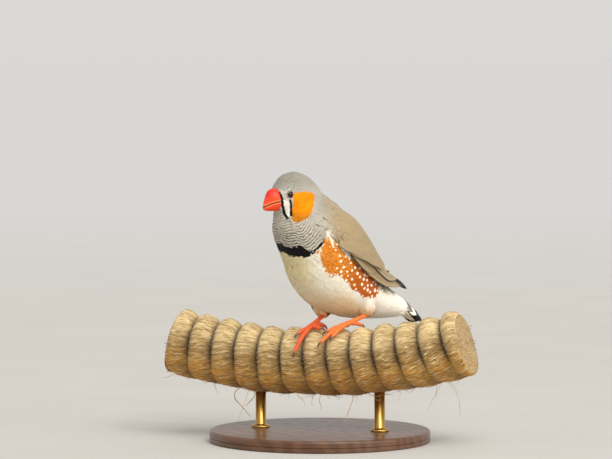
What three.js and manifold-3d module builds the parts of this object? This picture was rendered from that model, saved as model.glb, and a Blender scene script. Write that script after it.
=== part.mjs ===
// A life-size zebra finch that grips a cut length of wound rope, on a plain display stand.
// Millimetres, +Z up. The bird faces -Y and its left side is +X. The origin is the centre of the base's underside.
import * as THREE from 'three';
import { mergeVertices } from 'three/addons/utils/BufferGeometryUtils.js';
import Module from 'manifold-3d';

const wasm = await Module();
wasm.setup();

// Driving dimensions
const GAP = 0.3;
const BASE_RADIUS = 46;
const BASE_THICKNESS = 5;
const BASE_CHAMFER = 0.8;
const ROD_RADIUS = 2.2;
const ROD_SHOWN = 14.5;
const ROD_SPREAD = 26;
const ROPE_RADIUS = 14;
const ROPE_GROOVE = 1.9;
const ROPE_PITCH = 10.2;
const ROPE_SLANT = 0.7;
const ROPE_LENGTH = 128;
const ROPE_SAG_RADIUS = 240;
const ROPE_LOWEST = -4;
const ROPE_TURN = THREE.MathUtils.degToRad(33);
const PERCH_Z = BASE_THICKNESS + ROD_SHOWN + ROPE_RADIUS;

// The body's rings, nape to tail base, measured from the perch's axis: the point on the back (y, z), the point on
// the breast or belly (y, z), and the half width.
const BODY = [
  [-2.5, 72.6, -22.8, 63.5, 8.6],
  [0.6, 69.9, -23.1, 59.4, 10.2],
  [6.2, 65.9, -22.6, 54.8, 12.4],
  [11.6, 60.4, -20.8, 50.2, 14.2],
  [15.9, 54.0, -18.2, 45.4, 15.2],
  [19.6, 47.8, -15.6, 40.2, 15.7],
  [22.7, 42.1, -13.2, 34.6, 15.7],
  [25.7, 37.3, -8.8, 28.4, 15.2],
  [28.9, 33.0, -2.0, 23.2, 14.0],
  [32.8, 30.2, 7.5, 19.4, 12.0],
  [36.4, 28.0, 18.0, 17.5, 9.8],
  [39.6, 26.0, 28.5, 16.9, 7.8],
  [41.8, 23.6, 38.0, 16.6, 6.2],
  [44.2, 21.6, 43.4, 17.0, 4.6],
];
const NECK_RING = 1.9;
const TORSO_RING = 3.4;
const TAIL_RING = 10.6;
const BODY_SIDES = 22;

// The head's own frame has its origin midway between the eyes: forward, up, half width, from the face to the nape.
const HEAD_AT = new THREE.Vector3(0, -20.4, 69.2);
const HEAD_YAW = THREE.MathUtils.degToRad(4);
const HEAD = [
  [4.2, 2.0, -3.4, 2.6],
  [3.6, 3.8, -5.6, 3.9],
  [2.2, 6.3, -7.6, 5.4],
  [0, 8.3, -8.8, 6.7],
  [-3, 9.6, -9.4, 7.6],
  [-6.5, 9.9, -9.6, 8.1],
  [-10, 9.1, -9.4, 8.1],
  [-13.5, 7.0, -8.6, 7.5],
  [-16.6, 3.8, -7.2, 6.0],
  [-18.6, -0.2, -4.6, 3.4],
];
const HEAD_SIDES = 18;
const HEAD_STEP = 0.75;
const EYE_RADIUS = 1.75;
const EYE_SIDE = 5.0;
const EYE_FORWARD = -0.4;
const EYE_UP = 0.9;
const LID_RADIUS = 1.62;
const LID_THICKNESS = 0.42;
const LID_OUT = 1.35;

// Bill outlines in the head's frame: forward, top, bottom, half width.
const UPPER_BILL = [
  [0.4, 1.5, -1.5, 2.8],
  [3.4, 3.2, -1.85, 3.9],
  [5.2, 3.0, -2.25, 3.6],
  [6.8, 2.2, -2.85, 2.9],
  [8.0, 0.4, -3.4, 2.0],
  [8.9, -1.8, -3.9, 1.1],
  [9.4, -3.4, -4.3, 0.45],
];
const LOWER_BILL = [
  [-0.4, -2.2, -5.6, 2.5],
  [2.4, -2.1, -6.0, 3.8],
  [4.6, -2.45, -6.0, 3.4],
  [6.4, -3.05, -5.9, 2.5],
  [7.9, -3.8, -5.7, 1.5],
  [8.9, -4.5, -5.3, 0.6],
];
const NOSTRIL = [4.6, 1.7, 2.65];
const NOSTRIL_RADIUS = 0.42;

const THIGH_SPREAD = 7.6;
const TOE_LIFT = 1.25;
const CLAW_RADIUS = 0.55;

const COLOURS = {
  grey: 0x9d9c98, cream: 0xece3cf, brown: 0x9a8d7b, orange: 0xe86a2a, red: 0xe23b22,
  dark: 0x1b1210, tail: 0x1d1a19, claw: 0x5b3a2c, rope: 0xb99a63, wood: 0x6b4a30, brass: 0xb08d4a,
};

// Values between the rows of a table, on a Catmull-Rom curve
function between(rows, at) {
  const i = Math.min(Math.max(Math.floor(at), 0), rows.length - 2);
  const t = at - i;
  const row = (n) => rows[Math.min(Math.max(n, 0), rows.length - 1)];
  return rows[i].map((_, c) => {
    const [a, b, d, e] = [row(i - 1)[c], row(i)[c], row(i + 1)[c], row(i + 2)[c]];
    return b + 0.5 * t * (d - a + t * (2 * a - 5 * b + 4 * d - e + t * (3 * (b - d) + e - a)));
  });
}

// A closed geometry through rings of points, capped at both ends. Quads from flipFrom on are split the other way.
function loft(rings, flipFrom = Infinity) {
  const sides = rings[0].length;
  const points = rings.flat();
  const faces = [];
  rings.slice(1).forEach((_, r) => {
    for (let j = 0; j < sides; j++) {
      const [a, b] = [r * sides + j, r * sides + ((j + 1) % sides)];
      const [c, d] = [b + sides, a + sides];
      faces.push(...(j < flipFrom ? [a, b, c, a, c, d] : [a, b, d, b, c, d]));
    }
  });
  [0, rings.length - 1].forEach((r, end) => {
    const middle = rings[r].reduce((sum, p) => sum.add(p), new THREE.Vector3()).divideScalar(sides);
    points.push(middle);
    for (let j = 0; j < sides; j++) {
      const edge = [r * sides + j, r * sides + ((j + 1) % sides)];
      faces.push(points.length - 1, ...(end ? edge : edge.reverse()));
    }
  });
  return meshOf(points, faces);
}

// An indexed geometry whose faces point out
function meshOf(points, faces) {
  let volume = 0;
  for (let i = 0; i < faces.length; i += 3) {
    const [a, b, c] = [points[faces[i]], points[faces[i + 1]], points[faces[i + 2]]];
    volume += a.dot(new THREE.Vector3().crossVectors(b, c));
  }
  const geometry = new THREE.BufferGeometry().setFromPoints(points);
  geometry.setIndex(volume < 0 ? faces.reverse() : faces);
  return geometry;
}

function solid(geometry) {
  const plain = new THREE.BufferGeometry().setAttribute('position', geometry.getAttribute('position'));
  plain.setIndex(geometry.index);
  const merged = mergeVertices(plain, 1e-4);
  return new wasm.Manifold(new wasm.Mesh({
    numProp: 3,
    vertProperties: new Float32Array(merged.attributes.position.array),
    triVerts: new Uint32Array(merged.index.array),
  }));
}

function join(solids) {
  return solids.reduce((all, next) => all.add(next));
}

// The largest closed surface of a solid, as a geometry
function largest(made) {
  const bodies = made.decompose().sort((a, b) => b.volume() - a.volume());
  const mesh = bodies[0].getMesh();
  const geometry = new THREE.BufferGeometry();
  geometry.setAttribute('position', new THREE.BufferAttribute(new Float32Array(mesh.vertProperties), 3));
  geometry.setIndex(new THREE.BufferAttribute(new Uint32Array(mesh.triVerts), 1));
  return geometry;
}

// A large block whose one face is at a point and which lies on the side that the normal points to
function halfSpace(point, normal) {
  const size = 400;
  const box = new THREE.BoxGeometry(size, size, size).translate(0, 0, size / 2);
  box.applyQuaternion(new THREE.Quaternion().setFromUnitVectors(new THREE.Vector3(0, 0, 1), normal));
  return solid(box.translate(point.x, point.y, point.z));
}

// Body

function bodyRing(at, grow = 0) {
  const [backY, backZ, bellyY, bellyZ, width] = between(BODY, at);
  const back = new THREE.Vector3(0, backY, backZ);
  const belly = new THREE.Vector3(0, bellyY, bellyZ);
  const middle = back.clone().lerp(belly, 0.5);
  const out = back.clone().sub(belly).normalize();
  return { middle, out, depth: back.distanceTo(belly) / 2 + grow, width: width + grow };
}

// A point on the body: ring, angle from the back (90 is the left side) and height over the surface
function onBody(at, degrees, height = 0) {
  const point = (a, d) => {
    const ring = bodyRing(a);
    const angle = THREE.MathUtils.degToRad(d);
    const p = ring.middle.clone().addScaledVector(ring.out, ring.depth * Math.cos(angle));
    p.x += ring.width * Math.sin(angle);
    return p;
  };
  const step = 0.02;
  const p = point(at, degrees);
  const along = point(at + step, degrees).sub(p);
  const round = point(at, degrees + 1).sub(p);
  const normal = new THREE.Vector3().crossVectors(along, round).normalize();
  const outward = p.clone().sub(bodyRing(at).middle);
  if (normal.dot(outward) < 0) normal.negate();
  return { point: p.addScaledVector(normal, height), normal };
}

function bodyLoft(grow = 0) {
  const rings = [];
  for (let at = 0; at <= BODY.length - 1; at += 0.5) {
    const ring = bodyRing(at, grow);
    rings.push(Array.from({ length: BODY_SIDES }, (_, j) => {
      const angle = (2 * Math.PI * j) / BODY_SIDES;
      const p = ring.middle.clone().addScaledVector(ring.out, ring.depth * Math.cos(angle));
      p.x += ring.width * Math.sin(angle);
      return p;
    }));
  }
  return solid(loft(rings));
}

// A thin cut across the body: the plane of one ring, with its normal towards the tail
function ringPlane(at) {
  const ring = bodyRing(at);
  const normal = new THREE.Vector3(0, ring.out.z, -ring.out.y);
  return { point: ring.middle, normal };
}

function beyond(at, towardsTail) {
  const { point, normal } = ringPlane(at);
  const side = towardsTail ? 1 : -1;
  const face = point.clone().addScaledVector(normal, side * GAP / 2);
  return halfSpace(face, normal.clone().multiplyScalar(side));
}

// Head

const forward = new THREE.Vector3(-Math.sin(HEAD_YAW), -Math.cos(HEAD_YAW), 0);
const leftward = new THREE.Vector3(Math.cos(HEAD_YAW), -Math.sin(HEAD_YAW), 0);

function inHead(f, left, up) {
  const p = HEAD_AT.clone().addScaledVector(forward, f).addScaledVector(leftward, left);
  p.z += up;
  return p;
}

function headLoft() {
  const rings = [];
  for (let at = 0; at <= HEAD.length - 1; at += HEAD_STEP) {
    const [f, top, bottom, width] = between(HEAD, at);
    rings.push(Array.from({ length: HEAD_SIDES }, (_, j) => {
      const angle = (2 * Math.PI * j) / HEAD_SIDES;
      const up = (top + bottom) / 2 + ((top - bottom) / 2) * Math.cos(angle);
      return inHead(f, width * Math.sin(angle), up);
    }));
  }
  return solid(loft(rings));
}

// A bill half: its section is pointed at the ridge and flat at the cutting edge
function billLoft(rows, ridgeUp, grow = 0) {
  const half = [[0, 1], [0.62, 0.72], [0.95, 0.1], [1, -1]];
  const section = [...half, [0, -0.85], ...half.slice(1).reverse().map(([x, z]) => [-x, z])];
  const rings = [];
  for (let at = 0; at <= rows.length - 1; at += 0.5) {
    const [f, top, bottom, width] = between(rows, at);
    const middle = (top + bottom) / 2;
    const height = (top - bottom) / 2 + grow;
    rings.push(section.map(([x, z]) => inHead(f, x * (width + grow), middle + z * height * (ridgeUp ? 1 : -1))));
  }
  return solid(loft(rings));
}

function eyeAt(side) {
  return inHead(EYE_FORWARD, side * EYE_SIDE, EYE_UP);
}

function ball(centre, radius, across, down) {
  return solid(new THREE.SphereGeometry(radius, across, down).translate(centre.x, centre.y, centre.z));
}

function lid(side) {
  const ring = new THREE.TorusGeometry(LID_RADIUS, LID_THICKNESS, 5, 16);
  ring.applyQuaternion(new THREE.Quaternion().setFromUnitVectors(new THREE.Vector3(0, 0, 1), leftward));
  const at = inHead(EYE_FORWARD, side * (EYE_SIDE + LID_OUT), EYE_UP);
  return solid(ring.translate(at.x, at.y, at.z));
}

// Feathers

// A vane along a path of points and outward normals: thin, slightly arched, with an edge of its full thickness
function vane(path, halfWidth, thickness, arch = 0.12) {
  const rings = path.map(({ point, normal }, i) => {
    const next = path[Math.min(i + 1, path.length - 1)].point;
    const last = path[Math.max(i - 1, 0)].point;
    const along = next.clone().sub(last).normalize();
    const side = new THREE.Vector3().crossVectors(along, normal).normalize();
    const half = halfWidth(i / (path.length - 1));
    const at = (across, up) => point.clone().addScaledVector(side, across * half)
      .addScaledVector(normal, up * thickness / 2 - Math.abs(across) * arch * half);
    return [at(-1, 1), at(0, 1.3), at(1, 1), at(1, -1), at(0, -1), at(-1, -1)];
  });
  return solid(loft(rings, 3));
}

// The outline of a feather: a narrow root, full width, and a rounded or pointed tip
function featherShape(half, point) {
  return (t) => half * Math.min(1, 0.55 + 1.6 * t) * Math.pow(Math.max(1 - Math.pow(t, point), 0.02), 0.5);
}

// A vane that lies over the body from root to tip, each given as ring, angle and height
function bodyVane(root, tip, { half, bow = 0, steps = 5, point = 4, thickness = 0.55, lift = 0, mirror = 1 }) {
  const path = Array.from({ length: steps + 1 }, (_, i) => {
    const t = i / steps;
    const [at, angle, height] = root.map((v, c) => v + (tip[c] - v) * t);
    const placed = onBody(at, angle + bow * 4 * t * (1 - t), height + lift * t * t);
    placed.point.x *= mirror;
    placed.normal.x *= mirror;
    return placed;
  });
  return vane(path, featherShape(half, point), thickness);
}

const many = (count, make) => Array.from({ length: count }, (_, i) => make(i, i / Math.max(count - 1, 1)));

// The wing's shoulder and scapulars: a plate over the body from the bend of the wing to mid back
function wingPlate(mirror) {
  const [first, last, rows] = [2.9, 7.6, 7];
  const rings = many(rows + 1, (i, t) => {
    const at = first + (last - first) * t;
    const upper = 7 - 3 * t;
    const lower = 98 - 36 * t - 22 * t * t;
    const swell = Math.pow(Math.sin(Math.PI * (0.02 + 0.9 * t)), 0.6);
    const across = many(5, (j, s) => {
      const angle = upper + (lower - upper) * s;
      const height = 0.8 + 1.3 * swell * Math.pow(Math.sin(Math.PI * (0.08 + 0.84 * s)), 0.8);
      return onBody(at, angle, height).point;
    });
    const under = many(5, (j, s) => onBody(at, lower + (upper - lower) * s, 0.1).point);
    return [...across, ...under].map((p) => p.setX(p.x * mirror));
  });
  return solid(loft(rings, 5));
}

// Flight feathers and coverts in tiers. The tip of the right wing lies over the left one's.
function wing(side) {
  const over = side < 0;
  const lift = over ? 1.4 : 0;
  const cross = over ? -24 : 0;
  const reach = over ? 1.1 : 0;
  const primaries = many(6, (i, t) => bodyVane(
    [5.0, 77 - 20 * t, 0.9 + 0.8 * t],
    [10.25 - 1.35 * t + reach, 13 + 4 * t + cross, 5.8 - 0.7 * t],
    { half: 2.1, bow: 8 - 4 * t, steps: 5, point: 3, lift, mirror: side },
  ));
  const secondaries = many(4, (i, t) => bodyVane(
    [4.8, 63 - 24 * t, 1.8 + 0.4 * t],
    [9.5 - 0.9 * t, 17 - 6 * t + 0.5 * cross, 5.6 - 0.1 * t],
    { half: 2.8, bow: 5 - 3 * t, steps: 4, point: 5, lift, mirror: side },
  ));
  const tertials = many(3, (i, t) => bodyVane(
    [5.0, 41 - 12 * t, 2.6 + 0.1 * t],
    [8.7 - 0.9 * t, 12 - 2 * t + 0.2 * cross, 5.5 - 0.2 * t],
    { half: 2.9, bow: 4, steps: 4, point: 6, lift, mirror: side },
  ));
  const greater = many(4, (i, t) => bodyVane(
    [4.1 - 0.1 * t, 84 - 42 * t, 1.6 + 0.8 * t],
    [6.6 - 0.2 * t, 61 - 34 * t, 2.1 + 1.4 * t],
    { half: 3.7, bow: 3, steps: 3, point: 5, mirror: side },
  ));
  const median = many(4, (i, t) => bodyVane(
    [3.5, 84 - 43 * t, 1.6 + 0.5 * t],
    [5.2 - 0.1 * t, 71 - 40 * t, 2.3 + 0.6 * t],
    { half: 3.4, bow: 2, steps: 3, point: 4, mirror: side },
  ));
  return join([wingPlate(side), ...primaries, ...secondaries, ...tertials, ...greater, ...median]);
}

// Tail

const TAIL_SLOPE = THREE.MathUtils.degToRad(40);
const TAIL_TIP = new THREE.Vector3(0, 55.8, 14.4);
const tailAlong = new THREE.Vector3(0, Math.cos(TAIL_SLOPE), -Math.sin(TAIL_SLOPE));
const tailUp = new THREE.Vector3(0, Math.sin(TAIL_SLOPE), Math.cos(TAIL_SLOPE));

// A straight tail feather: lengths are back from the tail's tip, heights are over its upper face
function tailVane(from, to, { half, steps = 3, point = 6, thickness = 0.55 }) {
  const path = many(steps + 1, (i, t) => {
    const [back, x, up] = from.map((v, c) => v + (to[c] - v) * t);
    const normal = tailUp.clone().addScaledVector(new THREE.Vector3(1, 0, 0), x * 0.05).normalize();
    return { point: TAIL_TIP.clone().addScaledVector(tailAlong, -back).addScaledVector(tailUp, up).setX(x), normal };
  });
  return vane(path, featherShape(half, point), thickness);
}

function tailFeathers() {
  const made = [];
  [1, -1].forEach((side) => {
    made.push(...many(6, (i, t) => tailVane(
      [21, side * (0.5 + 1.0 * t), -0.4 - 1.2 * t],
      [0.8 * t, side * (0.8 + 2.4 * t), -0.5 - 1.8 * t],
      { half: 2.3 },
    )));
    made.push(...many(3, (i, t) => tailVane(
      [21 - 2 * t, side * (1.0 + 2.6 * t), 0.9 - 1.3 * t],
      [5.0 + 0.6 * t, side * (1.1 + 3.0 * t), 0.4 - 1.6 * t],
      { half: 2.4, point: 3 },
    )));
    made.push(...many(3, (i, t) => tailVane(
      [17, side * (0.8 + 2.2 * t), -4.8 + 1.0 * t],
      [8.0 - 2.4 * t, side * (0.9 + 1.8 * t), -3.4 + 0.5 * t],
      { half: 2.2, point: 3 },
    )));
  });
  return made;
}

// Legs and feet

// A point in the rope's own frame, where it runs along X and sags in an arc: distance along it, angle round it from
// the top to the front, and distance from its axis
function ropePoint(along, round, radius) {
  const turn = (along - ROPE_LOWEST) / ROPE_SAG_RADIUS;
  return new THREE.Vector3(
    ROPE_LOWEST + (ROPE_SAG_RADIUS - radius * Math.cos(round)) * Math.sin(turn),
    -radius * Math.sin(round),
    ROPE_SAG_RADIUS - (ROPE_SAG_RADIUS - radius * Math.cos(round)) * Math.cos(turn),
  );
}

// A point by the perch: distance along the rope, degrees round it from the top to the front, and height over it
function atPerch(along, degrees, height) {
  const p = ropePoint(along, THREE.MathUtils.degToRad(degrees), ROPE_RADIUS + height);
  return p.applyAxisAngle(new THREE.Vector3(0, 0, 1), ROPE_TURN);
}

// A round tube through points, with its own radius at each
function tube(points, radii, sides) {
  const rings = points.map((p, i) => {
    const along = points[Math.min(i + 1, points.length - 1)].clone().sub(points[Math.max(i - 1, 0)]).normalize();
    const across = new THREE.Vector3().crossVectors(along, new THREE.Vector3(0.3, 0.2, 1)).normalize();
    const up = new THREE.Vector3().crossVectors(across, along);
    return many(sides, (j) => {
      const angle = (2 * Math.PI * j) / sides;
      return p.clone().addScaledVector(across, radii[i] * Math.cos(angle)).addScaledVector(up, radii[i] * Math.sin(angle));
    });
  });
  return solid(loft(rings));
}

// Each foot: its ankle, the joint where the toes meet and each toe's end. The last two are given along the rope and
// round it from its top to the front.
const FEET = {
  left: {
    ankle: new THREE.Vector3(8.9, 20.0, 19.6),
    joint: [14.0, 2.5],
    feathered: 0.1,
    toes: [[6.3, 8.3], [4.9, 14.3], [9.6, 11.5], [17.5, -6.0]],
  },
  right: {
    ankle: new THREE.Vector3(-5.2, 9.6, 20.6),
    joint: [-2.0, 4.5],
    feathered: 0.3,
    toes: [[2.6, 6.0], [-6.3, 18.6], [-6.4, 10.0], [0.4, -6.0]],
  },
};
const CLAW_LENGTH = 3.4;

// A point over the perch's surface, by distances along and round the rope
function onPerch(along, round, height) {
  return atPerch(along, THREE.MathUtils.radToDeg(round / (ROPE_RADIUS + TOE_LIFT)), height);
}

function toe(joint, end) {
  const points = many(6, (i, t) => {
    const knuckle = 0.45 * Math.abs(Math.sin(2.5 * Math.PI * t));
    return onPerch(joint[0] + (end[0] - joint[0]) * t, joint[1] + (end[1] - joint[1]) * t, TOE_LIFT + knuckle * (1 - t));
  });
  return tube(points, [1.05, 1.0, 0.86, 0.95, 0.8, 0.72], 6);
}

function foot({ ankle, joint, toes }, above) {
  const heel = onPerch(joint[0], joint[1], TOE_LIFT + 0.5);
  const shank = tube(
    [0, 0.12, 0.3, 0.6, 0.88, 1].map((t) => ankle.clone().lerp(heel, t)),
    [1.35, 1.2, 0.92, 0.85, 1.0, 1.15],
    8,
  );
  return join([shank, ...toes.map((end) => toe(joint, end))]).subtract(above);
}

// A claw goes on along its toe's line, curved down to the rope
function claw(joint, end) {
  const length = Math.hypot(end[0] - joint[0], end[1] - joint[1]);
  const [along, round] = [(end[0] - joint[0]) / length, (end[1] - joint[1]) / length];
  return tube(
    many(5, (i, t) => {
      const reach = GAP + CLAW_LENGTH * t;
      const height = TOE_LIFT + 0.35 * Math.sin(Math.PI * t) - 0.9 * t * t;
      return onPerch(end[0] + along * reach, end[1] + round * reach, height);
    }),
    [CLAW_RADIUS, CLAW_RADIUS, 0.46, 0.34, 0.14],
    6,
  );
}

// The feathered part of a leg, from inside the belly to a share of the way down the shank
function thigh(side, { ankle, joint, feathered }, grow = 0) {
  const root = new THREE.Vector3(side * THIGH_SPREAD, ankle.y - 4.2, ankle.z + 9);
  const end = ankle.clone().lerp(onPerch(joint[0], joint[1], TOE_LIFT), feathered);
  return tube(
    [0, 0.35, 0.65, 0.88, 1].map((t) => root.clone().lerp(end, t)),
    [5.4, 5.0, 4.2, 3.2, 2.2].map((r) => r + grow),
    10,
  );
}

// Perch and stand

// The rope's surface: one strand wound round and round, with a groove at each turn, tight and flat underneath
function ropeSolid(grow = 0) {
  const [perTurn, sides] = [3, 18];
  const turns = Math.ceil(ROPE_LENGTH / ROPE_PITCH) + 3;
  const rows = turns * perTurn + 1;
  const points = [];
  for (let i = 0; i < rows; i++) {
    for (let j = 0; j < sides; j++) {
      const round = (2 * Math.PI * j) / sides;
      const wound = j / sides - (ROPE_SLANT * Math.sin(round)) / (2 * Math.PI);
      const along = ROPE_PITCH * (i / perTurn + wound - turns / 2 - 0.5);
      const depth = ROPE_GROOVE * (0.62 + 0.38 * Math.cos(round));
      points.push(ropePoint(along, round, ROPE_RADIUS + grow - (i % perTurn ? 0 : depth)));
    }
  }
  // After the last column the surface goes on one turn further along, so the rows join up as a helix.
  const index = (i, j) => (j < sides ? i * sides + j : (i + perTurn) * sides);
  const faces = [];
  for (let i = 0; i < rows - 1 - perTurn; i++) {
    for (let j = 0; j < sides; j++) {
      const [a, b, c, d] = [index(i, j), index(i, j + 1), index(i + 1, j + 1), index(i + 1, j)];
      faces.push(a, b, c, a, c, d);
    }
  }
  // The open loop at each end: once round the first or last row, then back along the seam
  const loopAt = (row) => [
    ...many(sides, (j) => index(row, j)),
    ...many(perTurn, (j) => index(row + perTurn - j, 0)),
  ];
  [0, rows - 1 - perTurn].forEach((row, end) => {
    const ring = loopAt(row);
    const middle = ring.reduce((sum, n) => sum.add(points[n]), new THREE.Vector3()).divideScalar(ring.length);
    points.push(middle);
    ring.forEach((n, j) => {
      const edge = [n, ring[(j + 1) % ring.length]];
      faces.push(points.length - 1, ...(end ? edge : edge.reverse()));
    });
  });
  let made = solid(meshOf(points, faces));
  [1, -1].forEach((side) => {
    const end = (side * ROPE_LENGTH) / 2;
    const inward = ropePoint(end - side, 0, 0).sub(ropePoint(end, 0, 0)).normalize();
    made = made.intersect(halfSpace(ropePoint(end, 0, 0), inward));
  });
  return made;
}

function rod(side) {
  const height = PERCH_Z - BASE_THICKNESS - GAP;
  const shaft = new THREE.CylinderGeometry(ROD_RADIUS, ROD_RADIUS, height, 16).rotateX(Math.PI / 2);
  shaft.translate(side * ROD_SPREAD, 0, -height / 2);
  return solid(shaft).subtract(ropeSolid(GAP));
}

function baseGeometry() {
  const profile = [
    [0, 0], [BASE_RADIUS, 0], [BASE_RADIUS, BASE_THICKNESS - BASE_CHAMFER],
    [BASE_RADIUS - BASE_CHAMFER, BASE_THICKNESS], [0, BASE_THICKNESS],
  ].map(([x, y]) => new THREE.Vector2(x, y));
  return new THREE.LatheGeometry(profile, 48).rotateX(Math.PI / 2);
}

// The scene

function node(name, geometry, colour, roughness = 0.8, metalness = 0) {
  const material = new THREE.MeshStandardMaterial({ color: COLOURS[colour], roughness, metalness });
  const mesh = new THREE.Mesh(geometry, material);
  mesh.name = name;
  return mesh;
}

const finch = new THREE.Group();
finch.position.z = PERCH_Z;

const upperBill = billLoft(UPPER_BILL, true);
const lowerBill = billLoft(LOWER_BILL, false);
const eyes = [1, -1].map((side) => ball(eyeAt(side), EYE_RADIUS + GAP, 14, 10));
const flesh = bodyLoft().add(headLoft());
const head = join([flesh.intersect(beyond(NECK_RING, false)), lid(1), lid(-1)]);
const carvedHead = [...eyes, billLoft(UPPER_BILL, true, GAP), billLoft(LOWER_BILL, false, GAP)]
  .reduce((left, cutter) => left.subtract(cutter), head);
const nostrils = [1, -1].map((side) => ball(inHead(NOSTRIL[0], side * NOSTRIL[1], NOSTRIL[2]), NOSTRIL_RADIUS, 6, 5));

finch.add(node('head', largest(carvedHead), 'grey'));
finch.add(node('bill_upper', largest(nostrils.reduce((left, hole) => left.subtract(hole), upperBill)), 'red', 0.35));
finch.add(node('bill_lower', largest(lowerBill), 'red', 0.35));
finch.add(node('neck', largest(flesh.intersect(beyond(NECK_RING, true)).intersect(beyond(TORSO_RING, false))), 'grey'));
finch.add(node('torso', largest(bodyLoft().intersect(beyond(TORSO_RING, true)).intersect(beyond(TAIL_RING, false))), 'cream'));
const tailStub = bodyLoft().intersect(beyond(TAIL_RING, true));
const tailBody = join([tailStub, ...tailFeathers()]).intersect(beyond(TAIL_RING, true));
finch.add(node('tail', largest(tailBody), 'tail'));

const grownBody = bodyLoft(GAP);
const grownTail = join([grownBody, tailBody]);
['left', 'right'].forEach((name, i) => {
  const side = i ? -1 : 1;
  const eye = ball(eyeAt(side), EYE_RADIUS, 14, 10);
  finch.add(node(`eye_${name}`, largest(eye), 'dark', 0.1));
  finch.add(node(`wing_${name}`, largest(wing(side).subtract(grownTail)), 'brown'));
  const leg = FEET[name];
  const above = grownBody.add(thigh(side, leg, GAP));
  finch.add(node(`thigh_${name}`, largest(thigh(side, leg).subtract(grownBody)), 'cream'));
  finch.add(node(`foot_${name}`, largest(foot(leg, above)), 'orange', 0.5));
  leg.toes.forEach((end, n) => {
    finch.add(node(`claw_${name}_${n + 1}`, largest(claw(leg.joint, end)), 'claw', 0.4));
  });
});

const perch = new THREE.Group();
perch.position.z = PERCH_Z;
perch.rotation.z = ROPE_TURN;
perch.add(node('perch_rope', largest(ropeSolid()), 'rope', 0.95));
[1, -1].forEach((side, i) => {
  perch.add(node(`stand_rod_${i + 1}`, largest(rod(side)), 'brass', 0.35, 1));
});

const model = new THREE.Group();
model.add(finch, perch, node('stand_base', baseGeometry(), 'wood', 0.5));

export default model;
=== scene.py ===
"""A life-size zebra finch that grips a cut length of wound rope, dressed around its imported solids.

Shapes are worked out in millimetres from the perch's axis and turned into metres where a mesh is made. The
bird faces -Y and its left side is +X. The tables of the body, the head, the feet, the rope and the stand are
the solids' own. The bill is a little slimmer than its solids, and the feathers have their own tables.
"""

import itertools
import math

import bpy
import numpy as np
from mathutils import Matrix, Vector
from mathutils.bvhtree import BVHTree


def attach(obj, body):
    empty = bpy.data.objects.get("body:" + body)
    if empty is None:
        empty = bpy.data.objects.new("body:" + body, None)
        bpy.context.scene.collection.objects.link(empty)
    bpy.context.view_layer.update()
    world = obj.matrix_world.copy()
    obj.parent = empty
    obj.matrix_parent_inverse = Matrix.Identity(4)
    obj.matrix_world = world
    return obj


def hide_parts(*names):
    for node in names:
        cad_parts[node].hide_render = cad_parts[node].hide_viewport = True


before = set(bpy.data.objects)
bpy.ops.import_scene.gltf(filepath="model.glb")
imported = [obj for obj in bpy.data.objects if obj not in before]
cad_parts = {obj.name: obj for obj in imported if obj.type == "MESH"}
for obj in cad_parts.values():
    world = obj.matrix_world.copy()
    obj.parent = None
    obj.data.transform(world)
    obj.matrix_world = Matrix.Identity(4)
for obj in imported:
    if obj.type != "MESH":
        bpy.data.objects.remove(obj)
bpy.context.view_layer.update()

# Driving dimensions
METRE = 0.001
BASE_RADIUS = 46
BASE_THICKNESS = 5
ROD_RADIUS = 2.2
ROD_SHOWN = 14.5
ROD_SPREAD = 26
ROPE_RADIUS = 14
ROPE_PITCH = 10.2
ROPE_SLANT = 0.7
ROPE_LENGTH = 128
ROPE_SAG_RADIUS = 240
ROPE_LOWEST = -4
ROPE_TURN = math.radians(33)
PERCH = np.array([0, 0, BASE_THICKNESS + ROD_SHOWN + ROPE_RADIUS])

# The body's rings, nape to tail base: y and z on the back, y and z on the belly, and the half width
BODY = [
    [-2.5, 72.6, -22.8, 63.5, 8.6],
    [0.6, 69.9, -23.1, 59.4, 10.2],
    [6.2, 65.9, -22.6, 54.8, 12.4],
    [11.6, 60.4, -20.8, 50.2, 14.2],
    [15.9, 54.0, -18.2, 45.4, 15.2],
    [19.6, 47.8, -15.6, 40.2, 15.7],
    [22.7, 42.1, -13.2, 34.6, 15.7],
    [25.7, 37.3, -8.8, 28.4, 15.2],
    [28.9, 33.0, -2.0, 23.2, 14.0],
    [32.8, 30.2, 7.5, 19.4, 12.0],
    [36.4, 28.0, 18.0, 17.5, 9.8],
    [39.6, 26.0, 28.5, 16.9, 7.8],
    [41.8, 23.6, 38.0, 16.6, 6.2],
    [44.2, 21.6, 43.4, 17.0, 4.6],
]
LAST_RING = len(BODY) - 1

# The head's own frame has its origin midway between the eyes. Its rings, from the face to the nape: how far
# forward, the top, the bottom and the half width.
HEAD_AT = np.array([0, -20.4, 69.2])
HEAD_YAW = math.radians(4)
FORWARD = np.array([-math.sin(HEAD_YAW), -math.cos(HEAD_YAW), 0])
LEFTWARD = np.array([math.cos(HEAD_YAW), -math.sin(HEAD_YAW), 0])
UPWARD = np.array([0.0, 0.0, 1.0])
HEAD = [
    [4.2, 2.0, -3.4, 2.6],
    [3.6, 3.8, -5.6, 3.9],
    [2.2, 6.3, -7.6, 5.4],
    [0, 8.3, -8.8, 6.7],
    [-3, 9.6, -9.4, 7.6],
    [-6.5, 9.9, -9.6, 8.1],
    [-10, 9.1, -9.4, 8.1],
    [-13.5, 7.0, -8.6, 7.5],
    [-16.6, 3.8, -7.2, 6.0],
    [-18.6, -0.2, -4.6, 3.4],
]
EYE_RADIUS = 1.75
EYE_SIDE = 5.0
EYE_FORWARD = -0.4
EYE_UP = 0.9
EYE_OPENING = 1.55

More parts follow.
